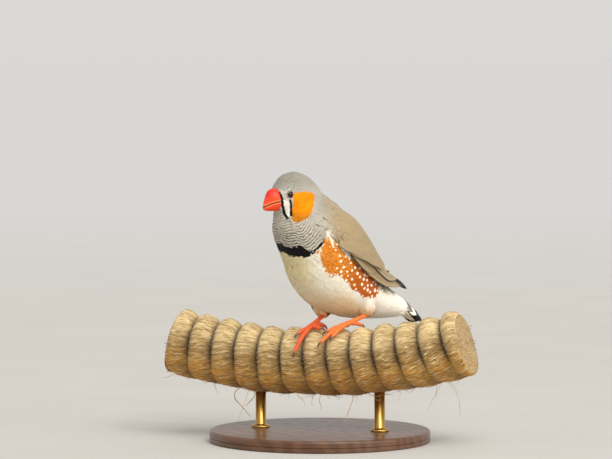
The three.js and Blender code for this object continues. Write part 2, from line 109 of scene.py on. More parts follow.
# Each foot: its ankle, the joint where the toes meet and each toe's end. The last two are distances along the
# rope and round it from its top to the front. A share of the shank below the ankle is feathered.
FEET = {
    "left": {
        "ankle": [8.9, 20.0, 19.6],
        "joint": [14.0, 2.5],
        "feathered": 0.1,
        "toes": [[6.3, 8.3], [4.9, 14.3], [9.6, 11.5], [17.5, -6.0]],
    },
    "right": {
        "ankle": [-5.2, 9.6, 20.6],
        "joint": [-2.0, 4.5],
        "feathered": 0.3,
        "toes": [[2.6, 6.0], [-6.3, 18.6], [-6.4, 10.0], [0.4, -6.0]],
    },
}
THIGH_SPREAD = 7.6
TOE_LIFT = 1.25
CLAW_LENGTH = 3.4
SIDES = {"left": 1, "right": -1}

# How far the skin lies inside the coat's outer form
BODY_COAT = 1.1
HEAD_COAT = 0.55
SKIN_VOXEL = 0.5
SKIN_SMOOTHING = 6


# Shared mathematics


def unit(v):
    return v / np.maximum(np.linalg.norm(v, axis=-1, keepdims=True), 1e-9)


def dot(a, b):
    return np.sum(a * b, axis=-1)


def fade(low, high, x):
    """A smooth step from 0 at low to 1 at high."""
    t = np.clip((np.asarray(x) - low) / (high - low), 0, 1)
    return t * t * (3 - 2 * t)


def between(rows, at):
    """Values between the rows of a table, on a Catmull-Rom curve."""
    rows = np.asarray(rows, float)
    at = np.asarray(at, float)
    row = np.clip(np.floor(at).astype(int), 0, len(rows) - 2)
    t = (at - row)[..., None]
    a, b, c, d = (rows[np.clip(row + n, 0, len(rows) - 1)] for n in (-1, 0, 1, 2))
    return b + 0.5 * t * (c - a + t * (2 * a - 5 * b + 4 * c - d + t * (3 * (b - c) + d - a)))


def linear(hex_code):
    """The linear colour of a web colour code."""
    parts = np.array([int(hex_code[i : i + 2], 16) for i in (0, 2, 4)]) / 255
    return np.where(parts < 0.04045, parts / 12.92, ((parts + 0.055) / 1.055) ** 2.4)


def full_turn(count):
    """Equal steps of a full turn in radians, without its end."""
    return np.linspace(0, 2 * math.pi, count, endpoint=False)


def circle(across, up, turn):
    """Unit steps off an axis at each turn from across to up."""
    turn = turn[:, None]
    return across[..., None, :] * np.cos(turn) + up[..., None, :] * np.sin(turn)


def mix(a, b, share):
    share = np.asarray(share)[..., None]
    return a * (1 - share) + b * share


def wobble(points, size, seed):
    """Smooth noise from -1 to 1 at points: a sum of waves about size across in scattered directions."""
    rng = np.random.default_rng(seed)
    total = np.zeros(len(points))
    for _ in range(6):
        wave = unit(rng.normal(size=3)) * 2 * math.pi / (size * rng.uniform(0.7, 1.5))
        total += np.sin(points @ wave + rng.uniform(0, 2 * math.pi))
    return total / 3


# Forms that the solids have too


def body_ring(at):
    """The middle of a ring, the direction to its back, its depth and its half width."""
    row = between(BODY, at)
    zero = np.zeros_like(row[..., 0])
    back = np.stack([zero, row[..., 0], row[..., 1]], -1)
    belly = np.stack([zero, row[..., 2], row[..., 3]], -1)
    return (back + belly) / 2, unit(back - belly), np.linalg.norm(back - belly, axis=-1) / 2, row[..., 4]


def body_point(at, angle, grow=0.0):
    """A point on the body: ring number and degrees from the back (90 is the left side)."""
    at, angle = np.broadcast_arrays(at, angle)
    middle, out, depth, width = body_ring(at)
    turn = np.radians(angle)
    point = middle + out * ((depth + grow) * np.cos(turn))[..., None]
    point[..., 0] += (width + grow) * np.sin(turn)
    return point


def on_body(at, angle, height):
    """A point over the body and the direction out of it there."""
    at, angle, height = np.broadcast_arrays(at, angle, height)
    point = body_point(at, angle)
    along = body_point(at + 0.02, angle) - point
    around = body_point(at, angle + 1) - point
    normal = unit(np.cross(along, around))
    outward = dot(normal, point - body_ring(at)[0])
    normal = normal * np.sign(outward)[..., None]
    return point + normal * height[..., None], normal


def ring_of(points):
    """The ring number and the angle of points near the body, below 0 in front of the first ring."""
    step = 0.125
    rings = np.arange(0, LAST_RING + step, step)
    middle, out, _, _ = body_ring(rings)
    normal = np.stack([np.zeros(len(rings)), out[:, 2], -out[:, 1]], -1)
    past = points @ normal.T - dot(middle, normal)
    row = np.clip(np.argmax(past < 0, axis=-1) - 1, 0, len(rings) - 2)
    row = np.where(np.all(past >= 0, axis=-1), len(rings) - 2, row)
    near = np.take_along_axis(past, row[:, None], 1)[:, 0]
    far = np.take_along_axis(past, row[:, None] + 1, 1)[:, 0]
    at = rings[row] + step * near / np.where(np.abs(near - far) < 1e-9, 1, near - far)
    middle, out, depth, width = body_ring(np.clip(at, 0, LAST_RING))
    angle = np.degrees(np.arctan2(points[:, 0] / width, dot(points - middle, out) / depth))
    return at, angle


def in_head(f, left, up):
    f, left, up = (np.asarray(v, float)[..., None] for v in (f, left, up))
    return HEAD_AT + FORWARD * f + LEFTWARD * left + UPWARD * up


def head_place(points):
    """Forward, left and up of points in the head's frame."""
    away = points - HEAD_AT
    return away @ FORWARD, away @ LEFTWARD, away @ UPWARD


def turned(points, angle):
    """Points turned about the vertical axis."""
    cosine, sine = math.cos(angle), math.sin(angle)
    return points @ np.array([[cosine, sine, 0], [-sine, cosine, 0], [0, 0, 1]])


def rope_point(along, around, radius):
    """A point of the rope: distance along it, angle round it from its top to its front and distance from its
    axis."""
    along, around, radius = np.broadcast_arrays(along, around, radius)
    turn = (along - ROPE_LOWEST) / ROPE_SAG_RADIUS
    reach = ROPE_SAG_RADIUS - radius * np.cos(around)
    x = ROPE_LOWEST + reach * np.sin(turn)
    z = ROPE_SAG_RADIUS - reach * np.cos(turn)
    return turned(np.stack([x, -radius * np.sin(around), z], -1), ROPE_TURN)


def on_perch(along, around, height):
    """A point over the perch by distances along the rope and round it."""
    return rope_point(along, np.asarray(around) / (ROPE_RADIUS + TOE_LIFT), ROPE_RADIUS + height)


# Mesh making


def ring_faces(rows, sides, mirrored=0):
    """Triangles of a closed tube whose points are given ring by ring, with a fan over each end.

    The quads of the last sides, as many as mirrored says, are cut along their other diagonal. So the lower
    face of a thin twisted vane stays under its upper one.
    """
    r, j = np.meshgrid(np.arange(rows - 1), np.arange(sides), indexing="ij")
    a = r * sides + j
    b = r * sides + (j + 1) % sides
    c, d = b + sides, a + sides
    other = j >= sides - mirrored
    walls = np.stack([a, b, np.where(other, d, c), np.where(other, b, a), c, d], -1).reshape(-1, 3)
    fan = np.arange(1, sides - 1)
    first = np.stack([np.zeros_like(fan), fan + 1, fan], -1)
    last = (rows - 1) * sides + np.stack([np.zeros_like(fan), fan, fan + 1], -1)
    return np.concatenate([walls, first, last])


def outward(points, faces):
    """Faces turned round where they point into the first of the closed forms."""
    a, b, c = (points[faces[:, n]] for n in range(3))
    return faces if np.sum(dot(a, np.cross(b, c))) > 0 else faces[:, ::-1]


# A direction that no tube runs along
TUBE_UP = np.array([0.3, 0.2, 1.0])


def tube(points, radii, sides):
    """A closed round tube through points, with its own radius at each."""
    points = np.asarray(points, float)
    along = unit(np.gradient(points, axis=0))
    across = unit(np.cross(along, TUBE_UP))
    lifted = np.cross(across, along)
    radii = np.asarray(radii, float)[:, None, None]
    return closed(points[:, None] + radii * circle(across, lifted, full_turn(sides)))


def closed(rings):
    """Points and outward faces of the closed form through rings (rows, sides, 3)."""
    points = rings.reshape(-1, 3)
    return points, outward(points, ring_faces(*rings.shape[:2]))


def joined(forms):
    """One set of points and faces from several."""
    points = []
    faces = []
    count = 0
    for form_points, form_faces in forms:
        points.append(form_points)
        faces.append(form_faces + count)
        count += len(form_points)
    return np.concatenate(points), np.concatenate(faces)


def make_object(
    name, points, faces, material, numbers=None, colours=None, maps=None, smooth=True, normals=None
):
    """A mesh object from millimetres over the perch. The other tables hold one value for each point."""
    mesh = bpy.data.meshes.new(name)
    mesh.vertices.add(len(points))
    mesh.vertices.foreach_set("co", ((points + PERCH) * METRE).astype(np.float32).ravel())
    mesh.loops.add(faces.size)
    mesh.loops.foreach_set("vertex_index", faces.astype(np.int32).ravel())
    mesh.polygons.add(len(faces))
    mesh.polygons.foreach_set("loop_start", np.arange(len(faces), dtype=np.int32) * faces.shape[1])
    mesh.update(calc_edges=True)
    mesh.shade_smooth() if smooth else mesh.shade_flat()
    for key, values in (numbers or {}).items():
        values = np.asarray(values, np.float32).ravel()
        mesh.attributes.new(key, "FLOAT", "POINT").data.foreach_set("value", values)
    for key, values in (colours or {}).items():
        full = np.concatenate([values, np.ones((len(values), 1))], axis=1).astype(np.float32)
        mesh.attributes.new(key, "FLOAT_COLOR", "POINT").data.foreach_set("color", full.ravel())
    for key, values in (maps or {}).items():
        mesh.uv_layers.new(name=key).data.foreach_set("uv", values[faces.ravel()].astype(np.float32).ravel())
    if normals is not None:
        mesh.normals_split_custom_set_from_vertices(normals)
    made = bpy.data.objects.new(name, mesh)
    bpy.context.scene.collection.objects.link(made)
    made.data.materials.append(material)
    return made


def piece(made, slot, *nodes):
    """Makes an object part of the model: it rides on the one body and stands for these solids."""
    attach(made, "root")
    if nodes:
        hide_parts(*nodes)
    return made


# Materials


class Value:
    """A node's output. Sums, products and fades of values are nodes too."""

    def __init__(self, graph, socket):
        self.graph = graph
        self.socket = socket

    def __add__(self, other):
        return self.graph.math("ADD", self, other)

    def __sub__(self, other):
        return self.graph.math("SUBTRACT", self, other)

    def __mul__(self, other):
        return self.graph.math("MULTIPLY", self, other)

    def __pow__(self, other):
        return self.graph.math("POWER", self, other)

    def __abs__(self):
        return self.graph.math("ABSOLUTE", self)

    def fade(self, low, high, start=0.0, end=1.0):
        """A smooth step from start where the value is low to end where it is high."""
        inputs = {"Value": self, "From Min": low, "From Max": high, "To Min": start, "To Max": end}
        return self.graph.add("ShaderNodeMapRange", 0, inputs, interpolation_type="SMOOTHSTEP")


def shader_colour(colour):
    """A node's colour as it is, or a web code or three numbers as a shader takes them."""
    if isinstance(colour, Value):
        return colour
    return (*(linear(colour) if isinstance(colour, str) else colour), 1.0)


class Graph:
    """A material's nodes. Each method adds a node and gives its output."""

    def __init__(self, name, **shader):
        self.material = bpy.data.materials.new(name)
        self.material.use_nodes = True
        self.tree = self.material.node_tree
        self.shader = self.tree.nodes["Principled BSDF"]
        for key, value in shader.items():
            self.shader.inputs[key.replace("_", " ")].default_value = value

    def add(self, kind, output, inputs, **settings):
        made = self.tree.nodes.new(kind)
        for key, value in settings.items():
            setattr(made, key, value)
        for key, value in inputs.items():
            if isinstance(value, Value):
                self.tree.links.new(value.socket, made.inputs[key])
            else:
                made.inputs[key].default_value = value
        return Value(self, made.outputs[output])

    def number(self, name):
        """A number that the mesh holds for each point."""
        return self.add("ShaderNodeAttribute", "Fac", {}, attribute_name=name)

    def tint(self, tone):
        """The colour that the mesh holds for each point, times tone."""
        tint = self.add("ShaderNodeAttribute", "Color", {}, attribute_name="tint")
        return self.add("ShaderNodeVectorMath", 0, {0: tint, 3: tone}, operation="SCALE")

    def part(self, vector, axis):
        return self.add("ShaderNodeSeparateXYZ", axis, {"Vector": vector})

    def vane(self):
        """The place on a feather: across it from the shaft, up to 0.5, and from root to tip, up to 1."""
        place = self.add("ShaderNodeUVMap", "UV", {}, uv_map="Vane")
        return self.part(place, "X") - 0.5, self.part(place, "Y")

    def place(self, stretch=(1, 1, 1)):
        """Places on the object in millimetres, stretched."""
        place = self.add("ShaderNodeTexCoord", "Object", {})
        scale = [s / METRE for s in stretch]
        return self.add("ShaderNodeVectorMath", 0, {0: place, 1: scale}, operation="MULTIPLY")

    def math(self, operation, a, b=0.0):
        return self.add("ShaderNodeMath", 0, {0: a, 1: b}, operation=operation)

    def mix(self, share, a, b):
        inputs = {0: share, 6: shader_colour(a), 7: shader_colour(b)}
        return self.add("ShaderNodeMix", 2, inputs, data_type="RGBA")

    def noise(self, size, stretch=(1, 1, 1)):
        """Noise from 0 to 1 with features about size millimetres across."""
        inputs = {"Vector": self.place(stretch), "Scale": 1 / size, "Detail": 2.0}
        return self.add("ShaderNodeTexNoise", "Fac", inputs)

    def cells(self, size):
        return self.add("ShaderNodeTexVoronoi", "Distance", {"Vector": self.place(), "Scale": 1 / size})

    def wave(self, phase):
        """A wave from -1 to 1, one turn for each unit of phase."""
        return self.math("SINE", phase * (2 * math.pi))

    def finish(self, colour, roughness=None, height=None, depth=0.1, strength=1.0):
        """Links the shader. height from 0 to 1 becomes a bump that is depth millimetres deep."""
        self.tree.links.new(colour.socket, self.shader.inputs["Base Color"])
        if roughness:
            self.tree.links.new(roughness.socket, self.shader.inputs["Roughness"])
        if height:
            inputs = {"Strength": strength, "Distance": depth * METRE, "Height": height}
            bump = self.add("ShaderNodeBump", 0, inputs)
            self.tree.links.new(bump.socket, self.shader.inputs["Normal"])
        return self.material


# Camera, floor and light. Far away the floor looks just as bright as the sky, so that no horizon shows.

CAMERA_AZIMUTH = math.radians(51)
CAMERA_ELEVATION = math.radians(3)
CAMERA_DISTANCE = 1416.7
LENS = 200
SENSOR_WIDTH = 36
LOOK_RIGHT = -5.8
LOOK_UP = 54.8
FLOOR_RADIUS = 60000
FLOOR_SIDES = 96
FLOOR_FADE = (300, 2500)
FLOOR_NEAR = ("bfbdb9", "c2c0bc")
FLOOR_FAR = "c5c6c8"
SKY = (1.0, 0.985, 0.96, 1)
SKY_BRIGHTNESS = 0.7
WARM = (1.0, 0.965, 0.9)
SUN_WIDTH = math.radians(50)

# Each light: its kind, the azimuth and elevation it shines from in degrees, its distance and its settings
LIGHTS = {
    "sky_light": ("SUN", 70, 52, 1000, {"energy": 1.85, "angle": SUN_WIDTH}),
    "side_light": ("SUN", 110, 8, 1000, {"energy": 1.2, "angle": SUN_WIDTH}),
    "soft_box": ("AREA", 75, 42, 700, {"energy": 0.7, "size": 0.08}),
}


def view_axes(azimuth, elevation):
    """Unit directions to the camera, to the picture's right and to its top."""
    level = np.array([math.sin(azimuth), -math.cos(azimuth), 0])
    back = level * math.cos(elevation) + UPWARD * math.sin(elevation)
    right = np.array([math.cos(azimuth), math.sin(azimuth), 0])
    return back, right, np.cross(back, right)


def aim(made, place, target):
    made.location = Vector(place) * METRE
    made.rotation_euler = (Vector(target) - Vector(place)).to_track_quat("-Z", "Y").to_euler()
    bpy.context.scene.collection.objects.link(made)


def add_camera():
    back, right, up = view_axes(CAMERA_AZIMUTH, CAMERA_ELEVATION)
    target = PERCH + right * LOOK_RIGHT + up * LOOK_UP
    camera = bpy.data.cameras.new("camera")
    camera.lens = LENS
    camera.sensor_width = SENSOR_WIDTH
    made = bpy.data.objects.new("camera", camera)
    aim(made, target + back * CAMERA_DISTANCE, target)
    bpy.context.scene.camera = made


def add_lights():
    target = PERCH + UPWARD * 20
    for name, (kind, azimuth, elevation, distance, settings) in LIGHTS.items():
        light = bpy.data.lights.new(name, kind)
        light.color = WARM
        for key, value in settings.items():
            setattr(light, key, value)
        back, _, _ = view_axes(math.radians(azimuth), math.radians(elevation))
        aim(bpy.data.objects.new(name, light), target + back * distance, target)


def add_floor():
    graph = Graph("floor_paper", Roughness=0.95, Specular_IOR_Level=0.1)
    paint = graph.mix(graph.noise(60.0).fade(0.3, 0.7), *FLOOR_NEAR)
    distance = graph.add("ShaderNodeVectorMath", 1, {0: graph.place()}, operation="LENGTH")
    paint = graph.mix(distance.fade(*FLOOR_FADE), paint, FLOOR_FAR)
    material = graph.finish(paint, height=graph.noise(0.8), depth=0.02)
    corner = np.arange(FLOOR_SIDES)
    turn = corner / FLOOR_SIDES * 2 * math.pi
    rim = np.stack([np.cos(turn) * FLOOR_RADIUS, np.sin(turn) * FLOOR_RADIUS, 0 * turn], -1)
    points = np.concatenate([rim, [[0, 0, 0]]]) - PERCH
    faces = np.stack([corner, (corner + 1) % FLOOR_SIDES, np.full(FLOOR_SIDES, FLOOR_SIDES)], -1)
    make_object("floor", points, faces, material, smooth=False)


def add_sky():
    world = bpy.data.worlds.new("studio")
    world.use_nodes = True
    background = world.node_tree.nodes["Background"]
    background.inputs["Color"].default_value = SKY
    background.inputs["Strength"].default_value = SKY_BRIGHTNESS
    bpy.context.scene.world = world


# Skin


def body_form(shrink):
    at = np.linspace(0, LAST_RING, 4 * LAST_RING + 1)[:, None]
    angle = np.linspace(0, 360, 72, endpoint=False)[None]
    return closed(body_point(at, angle, -shrink))


def head_form(shrink):
    at = np.linspace(0, len(HEAD) - 1, 40)
    f, top, bottom, width = (v[:, None] for v in between(HEAD, at).T)
    angle = full_turn(60)[None]
    up = (top + bottom) / 2 + ((top - bottom) / 2 - shrink) * np.cos(angle)
    left = (width - shrink) * np.sin(angle)
    return closed(in_head(f + 0 * angle - shrink * np.sign(f + 7), left, up))


def leg_line(side, share):
    """Points down the feathered part of a leg, from inside the belly: shares of its length."""
    leg = FEET[side]
    ankle = np.array(leg["ankle"])
    root = np.array([SIDES[side] * THIGH_SPREAD, ankle[1] - 4.2, ankle[2] + 9])
    end = ankle + (on_perch(*leg["joint"], TOE_LIFT) - ankle) * leg["feathered"]
    return root + (end - root) * np.asarray(share)[..., None]


THIGH_SHARES = [0, 0.35, 0.65, 0.88, 1]
THIGH_RADII = [5.4, 5.0, 4.2, 3.2, 2.2]


def thigh_form(side, shrink):
    share = np.linspace(0, 1, 16)
    radii = np.interp(share, THIGH_SHARES, THIGH_RADII) - shrink
    return tube(leg_line(side, share), radii, 28)


WING_FIRST = 2.9
WING_LAST = 7.6


def shoulder_form(mirror, shrink):
    """The folded wing's shoulder, which the coat lies over in front of the wing's own feathers."""
    share = np.linspace(0, 1, 30)[:, None]
    at = WING_FIRST + (WING_LAST - WING_FIRST) * share
    upper = 7 - 3 * share
    lower = 98 - 36 * share - 22 * share**2
    across = np.linspace(0, 1, 24)[None]
    swell = np.sin(math.pi * (0.02 + 0.9 * share)) ** 0.6
    height = 0.8 + 1.3 * swell * np.sin(math.pi * (0.08 + 0.84 * across)) ** 0.8 - shrink
    outer, _ = on_body(at + 0 * across, upper + (lower - upper) * across, height)
    inner, _ = on_body(at + 0 * across, lower + (upper - lower) * across, -1.5 + 0 * height)
    return closed(np.concatenate([outer, inner], axis=1) * [mirror, 1, 1])


def fused(forms):
    """Points and triangles of one smooth closed surface round several forms that meet."""
    points, faces = joined(forms)
    mesh = bpy.data.meshes.new("fused")
    mesh.from_pydata(points.tolist(), [], faces.tolist())
    made = bpy.data.objects.new("fused", mesh)
    bpy.context.scene.collection.objects.link(made)
    remesh = made.modifiers.new("remesh", "REMESH")
    remesh.mode = "VOXEL"
    remesh.voxel_size = SKIN_VOXEL
    smooth = made.modifiers.new("smooth", "SMOOTH")
    smooth.factor = 0.5
    smooth.iterations = SKIN_SMOOTHING
    made.modifiers.new("triangles", "TRIANGULATE")
    evaluated = made.evaluated_get(bpy.context.evaluated_depsgraph_get())
    result = bpy.data.meshes.new_from_object(evaluated)
    points = np.zeros(len(result.vertices) * 3)
    result.vertices.foreach_get("co", points)
    faces = np.zeros(len(result.polygons) * 3, int)
    result.polygons.foreach_get("vertices", faces)
    bpy.data.objects.remove(made)
    bpy.data.meshes.remove(mesh)
    bpy.data.meshes.remove(result)
    return points.reshape(-1, 3), faces.reshape(-1, 3)


class Skin:
    """The bird's one skin, with what the coat needs to lie on it."""

    def __init__(self):
        forms = [body_form(BODY_COAT), head_form(HEAD_COAT)]
        forms += [thigh_form(side, BODY_COAT * 0.8) for side in SIDES]
        forms += [shoulder_form(mirror, BODY_COAT) for mirror in SIDES.values()]
        self.points, self.faces = fused(forms)
        a, b, c = self.points[self.faces].transpose(1, 0, 2)
        face_normals = np.cross(b - a, c - a)
        self.areas = np.linalg.norm(face_normals, axis=1) / 2
        self.normals = np.zeros_like(self.points)
        for n in range(3):
            np.add.at(self.normals, self.faces[:, n], face_normals)
        self.normals = unit(self.normals)
        self.tree = BVHTree.FromPolygons(self.points.tolist(), self.faces.tolist())
        self.unwrap = None

    def nearest(self, points):
        """The nearest places on the skin, the smoothed normals there, and the faces."""
        found = [self.tree.find_nearest(p) for p in points.tolist()]
        places = np.array([f[0] for f in found])
        faces = np.array([f[2] for f in found])
        weights = self.weights(places, faces)
        normals = unit(np.einsum("nc,ncd->nd", weights, self.normals[self.faces[faces]]))
        return places, normals, faces

    def weights(self, places, faces):
        """Each place's share of its face's three corners."""
        a, b, c = self.points[self.faces[faces]].transpose(1, 0, 2)
        whole = np.linalg.norm(np.cross(b - a, c - a), axis=1)
        first = np.linalg.norm(np.cross(b - places, c - places), axis=1)
        second = np.linalg.norm(np.cross(c - places, a - places), axis=1)
        shares = np.clip(np.stack([first, second, whole - first - second], -1) / whole[:, None], 0, 1)
        return shares / shares.sum(axis=1, keepdims=True)

    def scattered(self, spacing, keep, seed):
        """Places on the skin at least spacing apart where keep says so."""
        rng = np.random.default_rng(seed)
        count = int(self.areas.sum() / spacing**2 * 5)
        faces = rng.choice(len(self.faces), count, p=self.areas / self.areas.sum())
        u, v = rng.random((2, count, 1))
        flip = u + v > 1
        u, v = np.where(flip, 1 - u, u), np.where(flip, 1 - v, v)
        a, b, c = self.points[self.faces[faces]].transpose(1, 0, 2)
        places = a + u * (b - a) + v * (c - a)
        places = places[keep(places)]
        cells = {}
        kept = []
        boxes = np.floor(places / spacing).astype(int).tolist()
        for index, (place, (x, y, z)) in enumerate(zip(places.tolist(), boxes)):
            close = (
                other
                for dx, dy, dz in itertools.product((-1, 0, 1), repeat=3)
                for other in cells.get((x + dx, y + dy, z + dz), ())
            )
            if all(math.dist(place, other) >= spacing for other in close):
                cells.setdefault((x, y, z), []).append(place)
                kept.append(index)
        return places[kept]


# Markings. Outlines on the head are places forward and up in its own frame. On the flank they are y and z.

CHEEK = [
    [-1.3, 1.2], [-3.5, 1.9], [-6.8, 2.2], [-9.6, 1.6], [-11.1, 0.1], [-10.9, -1.6], [-9.7, -4.1],
    [-8.3, -6.5], [-6.7, -8.4], [-4.6, -9.8], [-2.5, -10.6], [-1.3, -10.0], [-0.9, -8.3], [-1.2, -5.8],
    [-1.4, -2.9], [-1.2, -0.9],
]
STRIPE = [[2.7, -0.9], [2.1, -4.1], [0.9, -7.0], [0.3, -8.9], [-0.4, -7.8], [-0.5, -5.0], [0.6, -1.9]]
BILL_LINE = [[3.3, 3.1], [3.2, 1.8], [3.0, 0.4], [2.8, -0.9], [2.4, -3.5], [1.1, -6.5], [0.3, -8.8]]
TEAR_LINE = [[0.0, -1.3], [-0.7, -3.7], [-0.95, -5.8], [-0.85, -7.6]]
LINE_HALF = 0.42
FLANK = [
    [-7.2, 53.1], [-10.4, 47.8], [-10.2, 43.7], [-8.5, 39.3], [-4.8, 36.4], [-2.1, 36.8], [5.4, 30.5],
    [12.6, 26.6], [19.4, 26.0], [22.4, 28.8], [21.5, 33.5], [15.0, 37.0], [9.7, 40.0], [2.0, 44.5],
    [-2.5, 49.5],
]
# White tufts at the shoulder and pale down along the wing's edge
SHOULDER_TUFTS = [[-6.9, 54.6], [-5.8, 50.8], [-4.6, 48.4]]
WING_DOWN = [[-1.6, 48.6], [0.0, 46.6], [3.2, 43.9]]
# The breast band by degrees from the belly's midline: its middle's height and its half width
BAND = [
    [0, 46.9, 2.1], [12, 46.3, 1.8], [20, 46.2, 1.8], [27, 46.6, 2.2], [32, 46.9, 2.5], [37, 46.4, 1.7],
    [40, 45.8, 0.9], [46, 46.1, 0.6], [55, 47.8, 0.55], [64, 50.0, 0.55], [71, 51.5, 0.5], [76, 53.0, -1],
]
BAR_PITCH = 1.08
# Where the grey of the nape gives way to the brown mantle: degrees from the back and ring
MANTLE_EDGE = [[0, 0.6], [45, 1.05], [84, 2.0], [102, 3.2], [125, 6.0]]
# The lower edge of the folded wing: ring and degrees from the back
WING_EDGE = [[5.0, 89], [6.2, 82], [7.5, 56]]
# A mark's depth where it can't be
FAR_OUTSIDE = -9

CROWN_GREY = linear("979489")
SIDE_GREY = linear("b2ada1")
FACE_GREY = linear("c9c4b8")
THROAT_GREY = linear("cac4b4")
TAN = linear("a99577")
WING_TAN = linear("b09a76")
BUFF = linear("e6d49f")
CREAM = linear("f3eddb")
ROSY_BUFF = linear("ecd09c")
PEACH = linear("f2b07a")
WHITE = linear("fcf5e8")
BLACK = linear("141110")
BAR_DARK = linear("4b453b")
CHEEK_ORANGE = linear("f79703")
FLANK_ORANGE = linear("e28922")
FLANK_CHESTNUT = linear("c0641a")


def line_distance(outline, x, y, loop=False):
    """The distance from points to a line through the outline's places."""
    corners = np.array(outline, float)
    ends = np.roll(corners, -1, axis=0)
    if not loop:
        corners, ends = corners[:-1], ends[:-1]
    nearest = np.full(len(x), np.inf)
    for (ax, ay), (bx, by) in zip(corners, ends):
        length = (bx - ax) ** 2 + (by - ay) ** 2
        share = np.clip(((x - ax) * (bx - ax) + (y - ay) * (by - ay)) / length, 0, 1)
        nearest = np.minimum(nearest, np.hypot(x - ax - share * (bx - ax), y - ay - share * (by - ay)))
    return nearest


def depth_inside(outline, x, y):
    """How far points lie inside an outline, below 0 outside it."""
    inside = np.zeros(len(x), bool)
    for (ax, ay), (bx, by) in zip(outline, outline[1:] + outline[:1]):
        crosses = (ay > y) != (by > y)
        inside ^= crosses & (x < (bx - ax) * (y - ay) / (by - ay if by != ay else 1) + ax)
    distance = line_distance(outline, x, y, loop=True)
    return np.where(inside, distance, -distance)


def ring_of_many(points):
    parts = [ring_of(part) for part in np.array_split(points, len(points) // 50000 + 1)]
    return (np.concatenate(values) for values in zip(*parts))


def past_nape(at, across):
    """How many rings a place lies behind the edge of the brown mantle."""
    degrees, rings = np.array(MANTLE_EDGE).T
    return at - np.interp(across, degrees, rings)


def plumage_tint(points, at, across, below_band):
    """The plumage's ground colour: grey head, tan mantle, cream belly and white rump."""
    from_belly = 180 - across
    y, z = points[:, 1], points[:, 2]
    behind = past_nape(at, across) + 0.3 * wobble(points, 6, 3)
    f, _, up = head_place(points)
    on_head = fade(1.5, 0.2, at)
    side = fade(60, 95, across) * (1 - on_head) + fade(7, 1, up) * on_head
    low = fade(105, 125, across) * (1 - on_head) + fade(-3.5, -8, up) * on_head
    colour = mix(mix(CROWN_GREY, SIDE_GREY, side), THROAT_GREY, low)
    colour = mix(colour, FACE_GREY, fade(-2.5, 0, f) * fade(4.5, 1.5, up) * on_head)

    wing_edge = np.interp(at, *np.array(WING_EDGE).T)
    belly = fade(-0.3, 0.3, below_band) * fade(wing_edge - 5, wing_edge + 5, across) * fade(1.5, 2.2, at)
    rosy = fade(6.5, 8.2, at) * fade(10.2, 9.0, at) * fade(80, 62, from_belly)
    ground = mix(CREAM, BUFF, fade(50, 15, from_belly) * fade(9, 5, at) * 0.9)
    ground = mix(ground, ROSY_BUFF, rosy * 0.75)
    ground = mix(ground, WHITE, fade(4.5, 7.0, at) * fade(50, 82, from_belly))
    colour = mix(colour, ground, belly)

    tan_edge = wing_edge + 20 * fade(6.0, 4.5, at)
    colour = mix(colour, TAN, fade(-1.1, 1.3, behind) * fade(tan_edge + 7, tan_edge - 7, across))
    colour = mix(colour, WHITE, fade(8.6, 9.6, at) * fade(118, 104, across) * fade(25, 40, across))
    for side in SIDES:
        ankle = np.linalg.norm(points - leg_line(side, 1.0), axis=1)
        colour = mix(colour, PEACH, fade(6.0, 1.5, ankle) * 0.85)

    tufts = line_distance(SHOULDER_TUFTS, y, z) + 0.3 * wobble(points, 1.2, 11)
    down = line_distance(WING_DOWN, y, z) + 0.4 * wobble(points, 1.5, 12)
    on_side = fade(125, 118, across) * fade(78, 84, across)
    tufted = np.maximum(fade(0.9, 0.5, tufts), fade(1.1, 0.6, down)) * on_side
    return mix(colour, mix(WHITE, CREAM, 0.4), tufted)


